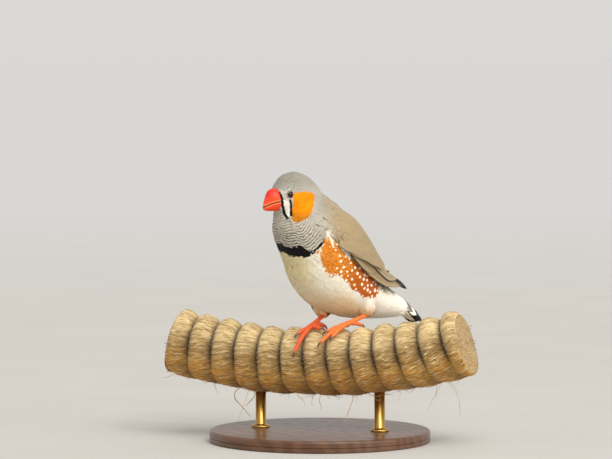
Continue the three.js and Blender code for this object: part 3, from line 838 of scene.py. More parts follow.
def markings(points, jitter=0.0):
    """The plumage's colour and marks at places on the bird. jitter moves the places, which frays the marks.

    The marks are how far a place lies inside each, so that the material can cut their edges sharply.
    """
    points = points + jitter
    at, angle = ring_of_many(points)
    f, left, up = head_place(points)
    across = np.abs(angle)
    from_belly = 180 - across
    y, z = points[:, 1], points[:, 2]
    beside = np.abs(left) > 1.2

    degrees, heights, halves = np.array(BAND).T
    far_lift = 1.6 * fade(14, -12, np.copysign(from_belly, angle)) * fade(70, 40, from_belly)
    above_band = z - np.interp(from_belly, degrees, heights) - far_lift
    ragged = 0.3 * wobble(points, 2.4, 7) + 0.3 * wobble(points, 0.9, 9)
    thick = np.interp(from_belly, degrees, halves)
    band = thick - np.abs(above_band) + ragged * fade(0.3, 1.6, thick)
    bars = above_band / BAR_PITCH + 0.2 * wobble(points, 4, 5) + 0.17 * wobble(points, 1.3, 6)
    barring = fade(0.2, 1.2, above_band) * fade(66, 60.5, z) * fade(84, 54, from_belly) * fade(-2, -8, up)
    barring = barring * (1 - 0.4 * fade(52, 60, z)) * (0.84 + 0.16 * wobble(points, 1.7, 12))

    lines = np.minimum(line_distance(BILL_LINE, f, up), line_distance(TEAR_LINE, f, up))
    tufts = np.minimum(line_distance(SHOULDER_TUFTS, y, z), line_distance(WING_DOWN, y, z))
    flank = depth_inside(FLANK, y, z) + 0.35 * wobble(points, 3, 8) + 0.25 * wobble(points, 1.1, 10)
    flank = flank + 1.3 * fade(-1, -7, y) * wobble(points * [1, 0.25, 1.5], 1.3, 13)
    flank = np.minimum(flank, tufts - 0.55)
    return {
        "colours": {"tint": plumage_tint(points, at, across, -above_band)},
        "numbers": {
            "cheek": np.where(beside, depth_inside(CHEEK, f, up), FAR_OUTSIDE),
            "stripe": np.where(beside, depth_inside(STRIPE, f, up), FAR_OUTSIDE),
            "face_line": np.where(beside, LINE_HALF - 0.14 * fade(-1, 3, up) - lines, FAR_OUTSIDE),
            "band": np.where(at > 1.5, band, FAR_OUTSIDE),
            "bars": bars,
            "barring": barring,
            "flank": np.where(across < 150, flank, FAR_OUTSIDE),
            "rear_flank": fade(-4, 12, y + 0.35 * (40 - z)),
            "speckle": fade(-9, -3, f) * fade(0.5, 3, up),
            "cheek_low": fade(-5.0, -9.0, up),
        },
    }


def flank_paint(graph):
    """Orange to chestnut, with fine darker and paler hairs."""
    hairs = graph.noise(0.5, (1.0, 0.35, 1.3))
    rear = graph.number("rear_flank")
    paint = graph.mix(rear, FLANK_ORANGE, FLANK_CHESTNUT)
    paint = graph.mix(hairs.fade(0.45, 0.62, 0.0, 0.6), paint, FLANK_CHESTNUT)
    return graph.mix(hairs.fade(0.5, 0.36, 0.0, 0.7) * rear.fade(0.7, 0.1), paint, "f0b263")


def cheek_paint(graph):
    """Orange, uneven, darker along the rim and streaked with brown at the bottom."""
    streaks = graph.number("cheek_low") * graph.noise(0.7).fade(0.3, 0.6, 0.35, 0.9)
    paint = graph.mix(graph.noise(3.0).fade(0.35, 0.65), CHEEK_ORANGE, "f08c04")
    paint = graph.mix(graph.number("cheek").fade(0.9, 0.0, 0.0, 0.35), paint, "d97a08")
    return graph.mix(streaks, paint, "b8741c")


def plumage_material():
    """Feathers: the bird's markings, white spots on the flank, fine barbs, and painted shade that darkens
    each feather toward its root.
    """
    graph = Graph("plumage", Roughness=0.85, Sheen_Weight=0.15, Sheen_Roughness=0.5, Specular_IOR_Level=0.1)
    sideways, along = graph.vane()
    barbs = graph.wave(abs(sideways) * 7.0 - along * 11.0)
    shade = graph.number("shade")
    # tone: a random brightness for each feather, painted shade that darkens each feather toward its root, and
    # fine barb lines
    tone = (shade * 0.02 + 1.0) * along.fade(0.1, 0.9, 0.98, 1.01) * barbs.fade(-0.6, 0.6, 1.01, 0.975)
    paint = graph.tint(tone)
    flecks = graph.number("speckle") * graph.noise(0.6).fade(0.5, 0.66, 0.0, 0.6)
    paint = graph.mix(flecks, paint, "5f5d58")
    bars = graph.wave(graph.number("bars")).fade(-0.05, 0.7, 0.0, 0.95)
    paint = graph.mix(bars * graph.number("barring"), paint, BAR_DARK)
    paint = graph.mix((graph.number("band") + shade * 0.16).fade(-0.12, 0.12), paint, BLACK)
    paint = graph.mix(graph.number("flank").fade(-0.15, 0.25), paint, flank_paint(graph))
    from_spot = (sideways**2.0 + ((along - 0.8) * 1.5) ** 2.0) ** 0.5
    paint = graph.mix((graph.number("spotted") - from_spot).fade(-0.02, 0.03), paint, WHITE)
    paint = graph.mix(graph.number("cheek").fade(-0.2, 0.2), paint, cheek_paint(graph))
    paint = graph.mix(graph.number("stripe").fade(-0.15, 0.2), paint, WHITE)
    paint = graph.mix(graph.number("face_line").fade(-0.08, 0.12), paint, BLACK)
    return graph.finish(paint, height=barbs * 0.5 + graph.noise(0.35), depth=0.02, strength=0.35)


# Coat


def flow(points, normals):
    """The way that feathers lie: back from the bill on the head, then along the body and the legs."""
    at, angle = ring_of_many(points)
    f = head_place(points)[0]
    at_body = np.clip(at, 0, LAST_RING - 0.2)
    turn = -9 * np.sin(np.radians(angle)) * fade(2.5, 4.5, at) * fade(150, 110, np.abs(angle))
    body = unit(body_point(at_body + 0.1, angle + 0.1 * turn) - body_point(at_body, angle))
    bill = in_head(5.0, 0.0, -2.2)
    head = unit(points - bill) + UPWARD * (-0.9 * fade(-6, -14, f))[:, None]
    way = mix(unit(head), body, fade(-0.6, 1.4, at))
    for side in SIDES:
        top, bottom = leg_line(side, [0.3, 1.0])
        share = np.clip((points - top) @ (bottom - top) / dot(bottom - top, bottom - top), 0, 1)
        away = np.linalg.norm(points - top - share[:, None] * (bottom - top), axis=1)
        way = mix(way, unit(bottom - top), fade(6.0, 4.2, away) * fade(25.5, 22, points[:, 2]))
    return unit(way - normals * dot(way, normals)[:, None])


def eye_axes(mirror):
    """An eye's middle, the direction out of it, and two across."""
    out = unit(LEFTWARD * mirror + FORWARD * 0.12)
    across = unit(np.cross(UPWARD, out))
    return in_head(EYE_FORWARD, mirror * EYE_SIDE, EYE_UP), out, across, np.cross(out, across)


def from_eye(points, mirror):
    """How far out of an eye points are, and their directions away from its axis."""
    centre, out, _, _ = eye_axes(mirror)
    away = points - centre
    level = away @ out
    return level, away - level[:, None] * out


def room_to_eye(places, ways):
    """How far a feather can reach from each place before it would cover an eye."""
    room = np.full(len(places), np.inf)
    for mirror in SIDES.values():
        level, flat = from_eye(places, mirror)
        out = eye_axes(mirror)[1]
        flat_way = ways - out * (ways @ out)[:, None]
        speed = np.maximum(dot(flat_way, flat_way), 1e-6)
        along = dot(flat, flat_way)
        gap = along**2 - speed * (dot(flat, flat) - (EYE_OPENING + 0.15) ** 2)
        reach = (-along - np.sqrt(np.maximum(gap, 0))) / speed
        room = np.where((gap > 0) & (reach > 0) & (level > 0), np.minimum(room, reach), room)
    return room


def clear_of_eyes(points):
    """Points moved out of the openings round the eyes, to their rims."""
    for mirror in SIDES.values():
        level, flat = from_eye(points, mirror)
        radius = np.linalg.norm(flat, axis=1)
        covers = (level > 0) & (radius < EYE_OPENING)
        pushed = EYE_OPENING * (1 + 0.1 * (radius / EYE_OPENING - 1))
        points = np.where(covers[:, None], points + unit(flat) * (pushed - radius)[:, None], points)
    return points


# Where the rump begins along y, and the cosine of the turn past which a feather there goes straight on
RUMP_FROM = 32
RUMP_TURN = 0.85
SHORTEST_FEATHER = 0.4
# How far a coat feather stands off the skin from its root to its tip, as shares of the coat's depth
RISE = [-0.25, 0.6, 0.87, 0.97, 1.0]


def lay(skin, roots, lengths, depths, swing):
    """Shafts of feathers along the skin, the directions out of it, and each root's place.

    swing turns each feather off the flow. At the rump a feather goes straight on where the skin falls away.
    """
    first, normal, root_faces = skin.nearest(roots)
    room = room_to_eye(first, flow(first, normal))
    lengths = np.minimum(lengths, np.maximum(room, SHORTEST_FEATHER))
    here = first
    spine = []
    out = []
    for rise in RISE:
        place, normal, _ = skin.nearest(here)
        if out:
            falls = (here[:, 1] > RUMP_FROM) & (dot(normal, out[-1]) < RUMP_TURN)
            place = np.where(falls[:, None], here, place)
            normal = np.where(falls[:, None], out[-1], normal)
        spine.append(place + normal * (depths * rise)[:, None])
        out.append(normal)
        way = flow(place, normal)
        way = way * np.cos(swing)[:, None] + np.cross(normal, way) * np.sin(swing)[:, None]
        here = place + way * (lengths / (len(RISE) - 1))[:, None]
    return np.stack(spine, 1), np.stack(out, 1), first, root_faces


def feather_outline(rows, root=0.5, power=4):
    """Half width along a feather, as a share of its widest: a narrow root and a rounded tip."""
    t = np.linspace(0, 1, rows)
    return np.minimum(1, root + 1.5 * t) * np.sqrt(np.maximum(1 - t**power, 0.03))


def vane_forms(spine, normal, half, outline, thickness, arch, columns):
    """Closed thin vanes along spines (feathers, rows, 3): points, normals that are soft across each vane, one
    vane's faces, and each point's place across and along its feather."""
    count, rows = spine.shape[:2]
    side = unit(np.cross(np.gradient(spine, axis=1), normal))
    across = np.concatenate([np.linspace(-1, 1, columns), np.linspace(1, -1, columns)[1:-1]])
    face = np.concatenate([np.ones(columns), -np.ones(columns - 2)])
    width = half[:, None, None] * outline[None, :, None] * across
    height = 0.5 * thickness * face * (1 - across**2) - arch * np.abs(width) ** 1.5
    side, normal = side[:, :, None], normal[:, :, None]
    points = spine[:, :, None] + side * width[..., None] + normal * height[..., None]
    soft = unit(normal * face[:, None] + 0.12 * side * across[:, None])
    along = np.broadcast_to(np.linspace(0, 1, rows)[:, None], (rows, len(across)))
    places = np.stack([0.5 + 0.5 * outline[:, None] * across, along], -1).reshape(-1, 2)
    faces = ring_faces(rows, len(across), mirrored=columns - 1)
    return points.reshape(count, -1, 3), soft.reshape(count, -1, 3), faces, places


# The corners of a thin three-sided barb or thread
THREE_TURNS = np.radians([90, 210, 330])


def barb_forms(spine, normal, half, barbs, outline, radius, arch, rng):
    """Thin closed barbs from the shaft to past the vane's edge, on both sides and at the tip."""
    count, rows = spine.shape[:2]
    side = unit(np.cross(np.gradient(spine, axis=1), normal))
    start = np.repeat(np.linspace(0.1, 0.84, barbs), 2)
    mirror = np.tile([-1.0, 1.0], barbs)
    end = np.minimum(start + 0.42, 1.04) + rng.uniform(-0.04, 0.05, (count, len(start)))
    rim = np.interp(start + 0.3, np.linspace(0, 1, rows), outline)
    rim = rim * rng.uniform(0.8, 1.15, (count, len(start)))
    share = np.array([0.0, 0.55, 1.0])
    t = start[None, :, None] + (end - start)[..., None] * share
    a = (mirror * rim)[..., None] * share**0.8 * np.where(start > 0.75, 0.55, 1.0)[None, :, None]
    row = np.clip(np.floor(t * (rows - 1)).astype(int), 0, rows - 2)
    part = (t * (rows - 1) - row)[..., None]
    feather = np.arange(count)[:, None, None]
    at, out, way = (v[feather, row] * (1 - part) + v[feather, row + 1] * part for v in (spine, normal, side))
    width = a * half[:, None, None]
    height = radius[:, None, None] * 0.7 - arch * np.abs(width) ** 1.5
    centre = at + way * width[..., None] + out * height[..., None]
    ahead = unit(centre[:, :, 2] - centre[:, :, 0])[:, :, None]
    ring = circle(unit(np.cross(out, ahead)), out, THREE_TURNS)
    thick = radius[:, None, None, None, None] * np.array([1.0, 0.8, 0.3])[:, None, None]
    points = centre[..., None, :] + ring * thick
    places = np.stack([0.5 + 0.5 * a, np.clip(t, 0, 1)], -1)
    places = np.repeat(places[..., None, :], 3, axis=3)
    shape = (count * len(start), 9)
    soft = unit(2.0 * out[..., None, :] + ring)
    return points.reshape(*shape, 3), soft.reshape(*shape, 3), ring_faces(3, 3), places.reshape(*shape, 2)


def copies(points, faces):
    """Faces of many copies of one form, whose points are (copies, points, 3)."""
    offsets = np.arange(len(points))[:, None, None] * points.shape[1]
    return (faces[None] + offsets).reshape(-1, 3)


VANE_THICKNESS = 0.05
VANE_ARCH = 0.03
VANE_COLUMNS = 3
BARB_TRIANGLES = 14


def soft_feathers(spine, normal, half, barbs, radius, outline, rng):
    """Vanes with barbs past their edges: points, normals, faces, each point's feather and its place on it."""
    vane, vane_soft, vane_faces, vane_places = vane_forms(
        spine, normal, half, outline, VANE_THICKNESS, VANE_ARCH, VANE_COLUMNS
    )
    barb, barb_soft, barb_faces, barb_places = barb_forms(
        spine, normal, half, barbs, outline, radius, VANE_ARCH, rng
    )
    number = np.arange(len(spine))
    points = np.concatenate([vane.reshape(-1, 3), barb.reshape(-1, 3)])
    soft = np.concatenate([vane_soft.reshape(-1, 3), barb_soft.reshape(-1, 3)])
    faces = np.concatenate([copies(vane, vane_faces), copies(barb, barb_faces) + vane[..., 0].size])
    feather = np.concatenate([np.repeat(number, vane.shape[1]), np.repeat(number, 2 * barbs * barb.shape[1])])
    local = np.concatenate([np.tile(vane_places, (len(spine), 1)), barb_places.reshape(-1, 2)])
    return points, soft, faces, feather, local


PATCH = 0.003
MOST_TRIANGLES = 190000
SPOT_SIZE = 0.22
NO_SPOT = -1.0

# Parts of the coat: feather spacing, length, half width, depth, barbs on each side, their radius, untidiness
# in radians, and how far each feather's marks are out of place
COAT = {
    "face": (0.56, 1.6, 0.52, 0.42, 4, 0.028, 0.1, 0.03),
    "crown": (0.76, 3.0, 0.95, 0.68, 7, 0.034, 0.09, 0.08),
    "breast": (0.95, 3.3, 1.05, 0.92, 7, 0.036, 0.12, 0.07),
    "belly": (1.2, 5.0, 1.5, 1.12, 10, 0.036, 0.1, 0.25),
    "flank": (1.0, 3.8, 0.85, 1.1, 7, 0.045, 0.16, 0.3),
    "mantle": (1.25, 4.8, 1.6, 1.05, 9, 0.042, 0.07, 0.2),
    "spots": (1.9, 3.6, 1.3, 1.18, 7, 0.045, 0.12, 0.1),
}


def coat_part(points):
    """Which part of the coat each place belongs to, by its name, or "" where no feather grows."""
    at, angle = ring_of_many(points)
    f, left, up = head_place(points)
    across = np.abs(angle)
    left = np.abs(left)
    flank = markings(points)["numbers"]["flank"]
    on_head = at < 1.6
    part = np.full(len(points), "belly", dtype="<U8")
    part[(at < 4.6) & (across > 95)] = "breast"
    part[flank > -0.2] = "flank"
    part[(past_nape(at, across) > 0) & (across < 112) & (flank < -0.2)] = "mantle"
    part[on_head] = "crown"
    part[on_head & (f > -3.5) & (up < 5.5) & (up > -10)] = "face"
    part[(f > 1.6 + 0.55 * left) & (left < 3.3) & (up < 2.7) & (up > -5.5)] = ""
    for mirror in SIDES.values():
        level, flat = from_eye(points, mirror)
        part[(level > 0) & (np.linalg.norm(flat, axis=1) < EYE_OPENING + 0.1)] = ""
    return part


def skin_maps(skin, places, faces):
    """Places on the skin's unwrap."""
    corners = skin.unwrap.reshape(-1, 3, 2)[faces]
    return np.einsum("nc,ncd->nd", skin.weights(places, faces), corners)


def lies_well(spine, normal):
    """Which feathers neither jump nor fold over where the skin's forms meet."""
    steps = np.diff(spine, axis=1)
    lengths = np.linalg.norm(steps, axis=2)
    bend = dot(unit(steps[:, 1:]), unit(steps[:, :-1])).min(axis=1)
    turn = dot(normal[:, 1:], normal[:, :-1]).min(axis=1)
    return (bend > 0.4) & (turn > 0.4) & (lengths.max(axis=1) < 2.2 * lengths.mean(axis=1))


def spot_sizes(places, rng):
    """White spots that grow to the rear. There are none at the shoulder."""
    y, z = places[:, 1], places[:, 2]
    size = SPOT_SIZE * rng.uniform(0.8, 1.2, len(places)) * (0.85 + 0.3 * fade(-2, 14, y))
    return np.where((y < -6) & (z > 38), NO_SPOT, size)


def coat_object(name, skin, roots, style, material, seed, spotted):
    """One joined mesh of feathers, each a curved vane with barbs past its edges."""
    _, length, half, depth, barbs, radius, untidy, stray = style
    rng = np.random.default_rng(seed)
    count = len(roots)
    scale = rng.uniform(0.85, 1.15, count)
    depths = depth * rng.uniform(0.97, 1.03, count)
    swing = rng.normal(0, untidy, count)
    spine, normal, places, root_faces = lay(skin, roots, length * scale, depths, swing)
    kept = lies_well(spine, normal)
    spine, normal, places, root_faces, scale = (v[kept] for v in (spine, normal, places, root_faces, scale))
    count = len(spine)
    points, soft, faces, feather, local = soft_feathers(
        spine, normal, half * scale, barbs, radius * scale, feather_outline(len(RISE)), rng
    )
    points = clear_of_eyes(points)
    marks = markings(points, rng.normal(0, stray, (count, 3))[feather])
    marks["numbers"]["shade"] = rng.normal(0, 1, count)[feather]
    spots = spot_sizes(places, rng) if spotted else np.full(count, NO_SPOT)
    marks["numbers"]["spotted"] = spots[feather]
    patch = skin_maps(skin, places, root_faces)[feather] + PATCH * (local - 0.5)
    maps = {"OFBake": patch, "Vane": local}
    made = make_object(name, points, faces, material, **marks, maps=maps, normals=soft)
    piece(made, "body_plumage")


def add_skin(skin, material):
    marks = markings(skin.points)
    marks["numbers"]["shade"] = np.zeros(len(skin.points))
    marks["numbers"]["spotted"] = np.full(len(skin.points), NO_SPOT)
    made = make_object("skin", skin.points, skin.faces, material, **marks)
    bpy.context.view_layer.objects.active = made
    made.select_set(True)
    made.data.uv_layers.new(name="OFBake")
    bpy.ops.object.mode_set(mode="EDIT")
    bpy.ops.mesh.select_all(action="SELECT")
    bpy.ops.uv.smart_project(angle_limit=math.radians(66), island_margin=0.002)
    bpy.ops.object.mode_set(mode="OBJECT")
    made.select_set(False)
    unwrap = np.zeros(len(skin.faces) * 6)
    made.data.uv_layers["OFBake"].data.foreach_get("uv", unwrap)
    skin.unwrap = unwrap.reshape(-1, 2)
    whole = np.tile([0.5, 0.9], len(skin.faces) * 3)
    made.data.uv_layers.new(name="Vane").data.foreach_set("uv", whole)
    piece(made, "body_plumage", "head", "neck", "torso", "thigh_left", "thigh_right")


def add_coat(skin, material):
    for number, (name, style) in enumerate(COAT.items()):
        ground = "flank" if name == "spots" else name
        roots = skin.scattered(style[0], lambda places: coat_part(places) == ground, 20 + number)
        vane_triangles = 2 * (len(RISE) * (2 * VANE_COLUMNS - 2) - 2)
        feather_triangles = vane_triangles + 2 * BARB_TRIANGLES * style[4]
        parts = math.ceil(len(roots) * feather_triangles / MOST_TRIANGLES)
        order = np.argsort(roots[:, 1], kind="stable")
        for n, chosen in enumerate(np.array_split(order, parts)):
            seed = 40 + 10 * number + n
            coat_object(f"coat_{name}_{n + 1}", skin, roots[chosen], style, material, seed, name == "spots")


# Wings

# Tiers of the folded wing: how many feathers, the roots of the first and the last and their tips as ring,
# angle and height, the half width, the bow of the first and the last in degrees, and the power that rounds
# their tips
TIERS = {
    "primary": (8, [5.0, 84, 0.9], [5.0, 57, 1.7], [11.15, 14, 5.2], [9.6, 14, 4.9], 1.8, (0, 2), 2.2),
    "secondary": (6, [4.8, 63, 1.8], [4.8, 39, 2.2], [9.6, 17, 5.6], [9.2, 10, 6.0], 2.0, (4, 2), 3.5),
    "tertial": (3, [5.0, 41, 2.7], [5.0, 29, 2.8], [9.2, 12, 5.8], [8.2, 10, 5.4], 2.7, (4, 4), 4),
    "greater": (7, [4.1, 84, 1.7], [4.0, 40, 2.5], [6.7, 62, 2.2], [6.5, 27, 3.6], 2.3, (3, 3), 5),
    "median": (7, [3.5, 84, 1.7], [3.5, 40, 2.2], [5.3, 72, 2.4], [5.2, 31, 3.0], 2.0, (2, 2), 4),
}
# The right wing's tips lie across the back over the left one's, by so many rings and degrees, and lift
TIPS_ACROSS = {"primary": (0.8, -22), "secondary": (0, -12), "tertial": (0, -4.8)}
TIP_LIFT = 1.4
WING_ROWS = 17
WING_THICKNESS = 0.32
WING_COLUMNS = 9

# Soft feathers over the wing's root, in rows: each row's first ring and how many feathers it has. They spread
# from one angle to another and lie over the tiers at these heights by ring.
SCAPULAR_ROWS = [[2.5, 9], [2.95, 11], [3.4, 12], [3.85, 12], [4.3, 12], [4.75, 10], [5.15, 8]]
SCAPULAR_ANGLES = [[2.5, 16, 92], [3.9, 14, 96], [4.6, 14, 84], [5.2, 14, 66], [6.0, 14, 50]]
SCAPULAR_HEIGHTS = [[1.8, 0.15], [2.6, 0.9], [3.3, 2.05], [4.0, 2.95], [5.0, 3.65], [6.0, 4.3], [7.0, 5.1]]
SCAPULAR_LENGTH = 1.35
SCAPULAR_HALF = 2.1
SCAPULAR_BARBS = 26
SCAPULAR_BARB_RADIUS = 0.05
SCAPULAR_SHAFT_ROWS = 9


def wing_spines(mirror, tier):
    """The shafts of one tier's feathers and the direction out of the body along them."""
    count, root_first, root_last, tip_first, tip_last, _, bow, _ = TIERS[tier]
    share = np.linspace(0, 1, count)[:, None, None]
    root = mix(np.array(root_first, float), np.array(root_last, float), share[..., 0])
    tip = mix(np.array(tip_first, float), np.array(tip_last, float), share[..., 0])
    t = np.linspace(0, 1, WING_ROWS)[None, :, None]
    lift = 0 * t
    if mirror < 0 and tier in TIPS_ACROSS:
        tip = tip + [*TIPS_ACROSS[tier], 0]
        lift = TIP_LIFT * t**2
    path = root + (tip - root) * t
    bows = (bow[0] + (bow[1] - bow[0]) * share) * 4 * t * (1 - t)
    points, normals = on_body(path[..., 0], path[..., 1] + bows[..., 0], path[..., 2] + lift[..., 0])
    return points * [mirror, 1, 1], normals * [mirror, 1, 1]


def wing_material():
    """Flight feathers and coverts: tan, with paler edges, a dark shaft line and fine slanting barbs. Each
    primary has a dark line along one edge; on the first secondary and the first greater covert that line is
    painted shadow of the gap above the primaries.
    """
    graph = Graph("wing_feathers", Roughness=0.75, Sheen_Weight=0.15, Specular_IOR_Level=0.2)
    sideways, along = graph.vane()
    from_shaft = abs(sideways)
    firm = graph.number("firm")
    barbs = graph.wave(along * graph.number("barb_count") - from_shaft * 14.0)
    paint = graph.tint(graph.number("shade") * 0.03 + 1.0)
    paint = graph.mix(from_shaft.fade(0.4, 0.1, 0.0, 0.5) * firm, paint, "9c8763")
    paint = graph.mix(from_shaft.fade(0.4, 0.49, 0.0, 0.8) * firm, paint, "d8c6a2")
    paint = graph.mix(from_shaft.fade(0.035, 0.012, 0.0, 0.8) * firm, paint, "5d4c36")
    # A dark line along one edge: on the first secondary and the first greater covert it is painted shadow of
    # the gap above the primaries
    paint = graph.mix((sideways * graph.number("rim")).fade(0.36, 0.42, 0.0, 0.9), paint, "33261a")
    paint = graph.mix(graph.number("dark") * along.fade(0.74, 0.84), paint, BLACK)
    paint = graph.mix(barbs.fade(-0.5, 0.5, 0.0, 0.16), paint, "6f604b")
    return graph.finish(paint, height=barbs, depth=0.04, strength=0.6)


def sheet_of(feather, local, count):
    """Feathers side by side on one map."""
    columns = math.ceil(math.sqrt(count))
    cell = np.stack([feather % columns, feather // columns], -1)
    return (cell + 0.05 + 0.9 * local) / columns


def firm_feathers(spine, normal, half, outline, thickness, columns):
    """Large feathers as closed vanes with round shafts: points, faces, each point's feather and its place."""
    count, rows = spine.shape[:2]
    points, _, faces, places = vane_forms(spine, normal, half, outline, thickness, 0.1, columns)
    sides = 4
    side = unit(np.cross(normal, np.gradient(spine, axis=1)))
    radius = np.linspace(0.17, 0.05, rows)[None, :, None, None]
    ring = circle(side, normal * 0.8, full_turn(sides))
    shafts = ((spine + normal * thickness * 0.4)[:, :, None] + ring * radius).reshape(count, -1, 3)
    shaft_faces = copies(shafts, ring_faces(rows, sides)) + points.shape[0] * points.shape[1]
    shaft_places = np.stack([np.full(rows * sides, 0.5), np.repeat(np.linspace(0, 1, rows), sides)], -1)
    feather = np.concatenate([np.repeat(np.arange(count), len(form[0])) for form in (points, shafts)])
    local = np.concatenate([np.tile(places, (count, 1)), np.tile(shaft_places, (count, 1))])
    all_points = np.concatenate([points.reshape(-1, 3), shafts.reshape(-1, 3)])
    return all_points, np.concatenate([copies(points, faces), shaft_faces]), feather, local


def add_feathers(name, slot, form, material, numbers, tint, nodes, normals=None):
    """An object from feathers. numbers hold one value for each feather, or one for all."""
    points, faces, feather, local = form
    count = feather.max() + 1
    values = {key: np.broadcast_to(value, count)[feather] for key, value in numbers.items()}
    tints = {"tint": np.broadcast_to(tint, (len(feather), 3))}
    maps = {"OFBake": sheet_of(feather, local, count), "Vane": local}
    made = make_object(name, points, faces, material, values, tints, maps, normals=normals)
    piece(made, slot, *nodes)


def add_wing(side_name, material):
    mirror = SIDES[side_name]
    node = (f"wing_{side_name}",)
    for order, tier in enumerate(TIERS):
        spine, normal = wing_spines(mirror, tier)
        count = len(spine)
        rng = np.random.default_rng(70 + order)
        half, power = TIERS[tier][5], TIERS[tier][7]
        flight = tier in ("primary", "secondary")
        # rim: a dark line along one edge of each primary, and painted shadow of the gap above the primaries
        # along the first secondary and the first greater covert
        rim = np.full(count, 0.95 * mirror if tier == "primary" else 0.0)
        if tier in ("secondary", "greater"):
            rim[0] = mirror
        numbers = {
            "shade": rng.normal(0, 1, count),
            "dark": 1.0 if tier == "primary" else 0.0,
            "barb_count": 60.0 if flight else 34.0,
            "firm": 1.0 if flight else 0.5,
            "rim": rim,
        }
        outline = feather_outline(WING_ROWS, 0.55, power)
        form = firm_feathers(spine, normal, np.full(count, half), outline, WING_THICKNESS, WING_COLUMNS)
        add_feathers(f"wing_{side_name}_{tier}", "wing_plumage", form, material, numbers, WING_TAN, node)
    add_scapulars(side_name, material)


def add_scapulars(side_name, material):
    """Soft feathers that hide the roots of the wing's tiers."""
    mirror = SIDES[side_name]
    rng = np.random.default_rng(90)
    angle_rings, upper, lower = np.array(SCAPULAR_ANGLES).T
    height_rings, heights = np.array(SCAPULAR_HEIGHTS).T
    roots = []
    for ring, count in SCAPULAR_ROWS:
        spread = (np.arange(count) + 0.5 + rng.uniform(-0.2, 0.2, count)) / count
        top, bottom = np.interp(ring, angle_rings, upper), np.interp(ring, angle_rings, lower)
        angles = top * (1 - spread) + bottom * spread
        roots.append(np.stack([ring + rng.uniform(-0.12, 0.12, count), angles], -1))
    roots = np.concatenate(roots)[:, None]
    count = len(roots)
    t = np.linspace(0, 1, SCAPULAR_SHAFT_ROWS)[None]
    rings = roots[..., 0] + SCAPULAR_LENGTH * t * rng.uniform(0.9, 1.1, (count, 1))
    angles = roots[..., 1] - (2 + 0.17 * roots[..., 1]) * t * SCAPULAR_LENGTH
    over = np.interp(rings, height_rings, heights) * (1 - 0.55 * fade(30, 12, angles) * fade(5, 3.5, rings))
    over = over - 0.95 * (1 - t) ** 2 + 0.1 * t
    over = over + rng.uniform(0, 0.06, (count, 1)) - 0.6 * fade(60, 90, angles)
    spine, normal = on_body(rings, angles, over)
    half = SCAPULAR_HALF * rng.uniform(0.9, 1.1, count)
    radius = np.full(count, SCAPULAR_BARB_RADIUS)
    points, soft, faces, feather, local = soft_feathers(
        spine * [mirror, 1, 1], normal * [mirror, 1, 1], half, SCAPULAR_BARBS, radius,
        feather_outline(SCAPULAR_SHAFT_ROWS, 0.6, 5), rng,
    )
    form = points, faces, feather, local
    numbers = {"shade": rng.normal(0, 1, count), "dark": 0.0, "barb_count": 40.0, "firm": 0.12, "rim": 0.0}
    name = f"wing_{side_name}"
    add_feathers(f"{name}_scapular", "wing_plumage", form, material, numbers, WING_TAN, (name,), soft)


# Tail

TAIL_SLOPE = math.radians(40)
TAIL_TIP = np.array([0, 55.8, 14.4])
TAIL_ALONG = np.array([0, math.cos(TAIL_SLOPE), -math.sin(TAIL_SLOPE)])
TAIL_UP = np.array([0, math.sin(TAIL_SLOPE), math.cos(TAIL_SLOPE)])
TAIL_ROWS = 15
TAIL_COLUMNS = 7
TAIL_THICKNESS = 0.3

# Sets of tail feathers on one side: how many, then the roots of the first and the last and their tips, each
# as the distance back from the tail's tip, sideways and over its upper face. Then the tilt of the first and
# the last to the side in degrees, the half width and the power that rounds the tip.
TAIL_SETS = {
    "rectrices": (6, [14, 0.5, -0.6], [14, 1.5, -1.6], [0, 0.8, -0.5], [0.8, 3.0, -2.1], (3, 25), 2.2, 6),
    "upper_coverts": (7, [25, 1, -1.3], [23, 4.4, -3], [5, 1.1, 0.5], [2.6, 3.6, -1.6], (5, 75), 2.0, 3),
    "under_coverts": (7, [19, 0.8, -4.4], [19, 4, -4.2], [3.6, 0.9, -3], [8, 2.8, -3.6], (3, 30), 2.1, 3),
}


def tail_spines(count, root_first, root_last, tip_first, tip_last, tilts):
    """Straight shafts for both sides of the tail, and the direction out of their upper faces."""
    share = np.linspace(0, 1, count)[:, None]
    start = np.array(root_first) + (np.array(root_last) - root_first) * share
    end = np.array(tip_first) + (np.array(tip_last) - tip_first) * share
    t = np.linspace(0, 1, TAIL_ROWS)[None, :, None]
    path = start[:, None] + (end - start)[:, None] * t
    tilt = np.radians(tilts[0] + (tilts[1] - tilts[0]) * share)[..., None]
    normal = TAIL_UP * np.cos(tilt) + np.array([1.0, 0, 0]) * np.sin(tilt) + 0 * path
    points = TAIL_TIP - TAIL_ALONG * path[..., :1] + TAIL_UP * path[..., 2:]
    points[..., 0] += path[..., 1]
    return np.concatenate([points, points * [-1, 1, 1]]), np.concatenate([normal, normal * [-1, 1, 1]])


def tail_material():
    """Tail feathers: near black with a brown edge, and white coverts with broad black bars."""
    graph = Graph("tail_feathers", Roughness=0.7, Sheen_Weight=0.1, Specular_IOR_Level=0.25)
    sideways, along = graph.vane()
    from_shaft = abs(sideways)
    place = along + from_shaft * 0.25
    dark = graph.mix(from_shaft.fade(0.3, 0.5), "1d1917", "332c27")
    barred = graph.mix(place.fade(0.5, 0.54) * place.fade(0.72, 0.68) * 0.85, WHITE, "55504a")
    barred = graph.mix(from_shaft.fade(0.36, 0.44) * place.fade(0.42, 0.5), barred, "2a2522")
    barred = graph.mix(place.fade(0.8, 0.84) * place.fade(1.04, 1.0), barred, BLACK)
    paint = graph.mix(graph.number("barred"), dark, barred)
    paint = graph.mix(graph.number("pale"), paint, "fbeccb")
    barbs = graph.wave(along * 55.0 - from_shaft * 14.0)
    return graph.finish(paint, height=barbs, depth=0.03, strength=0.5)


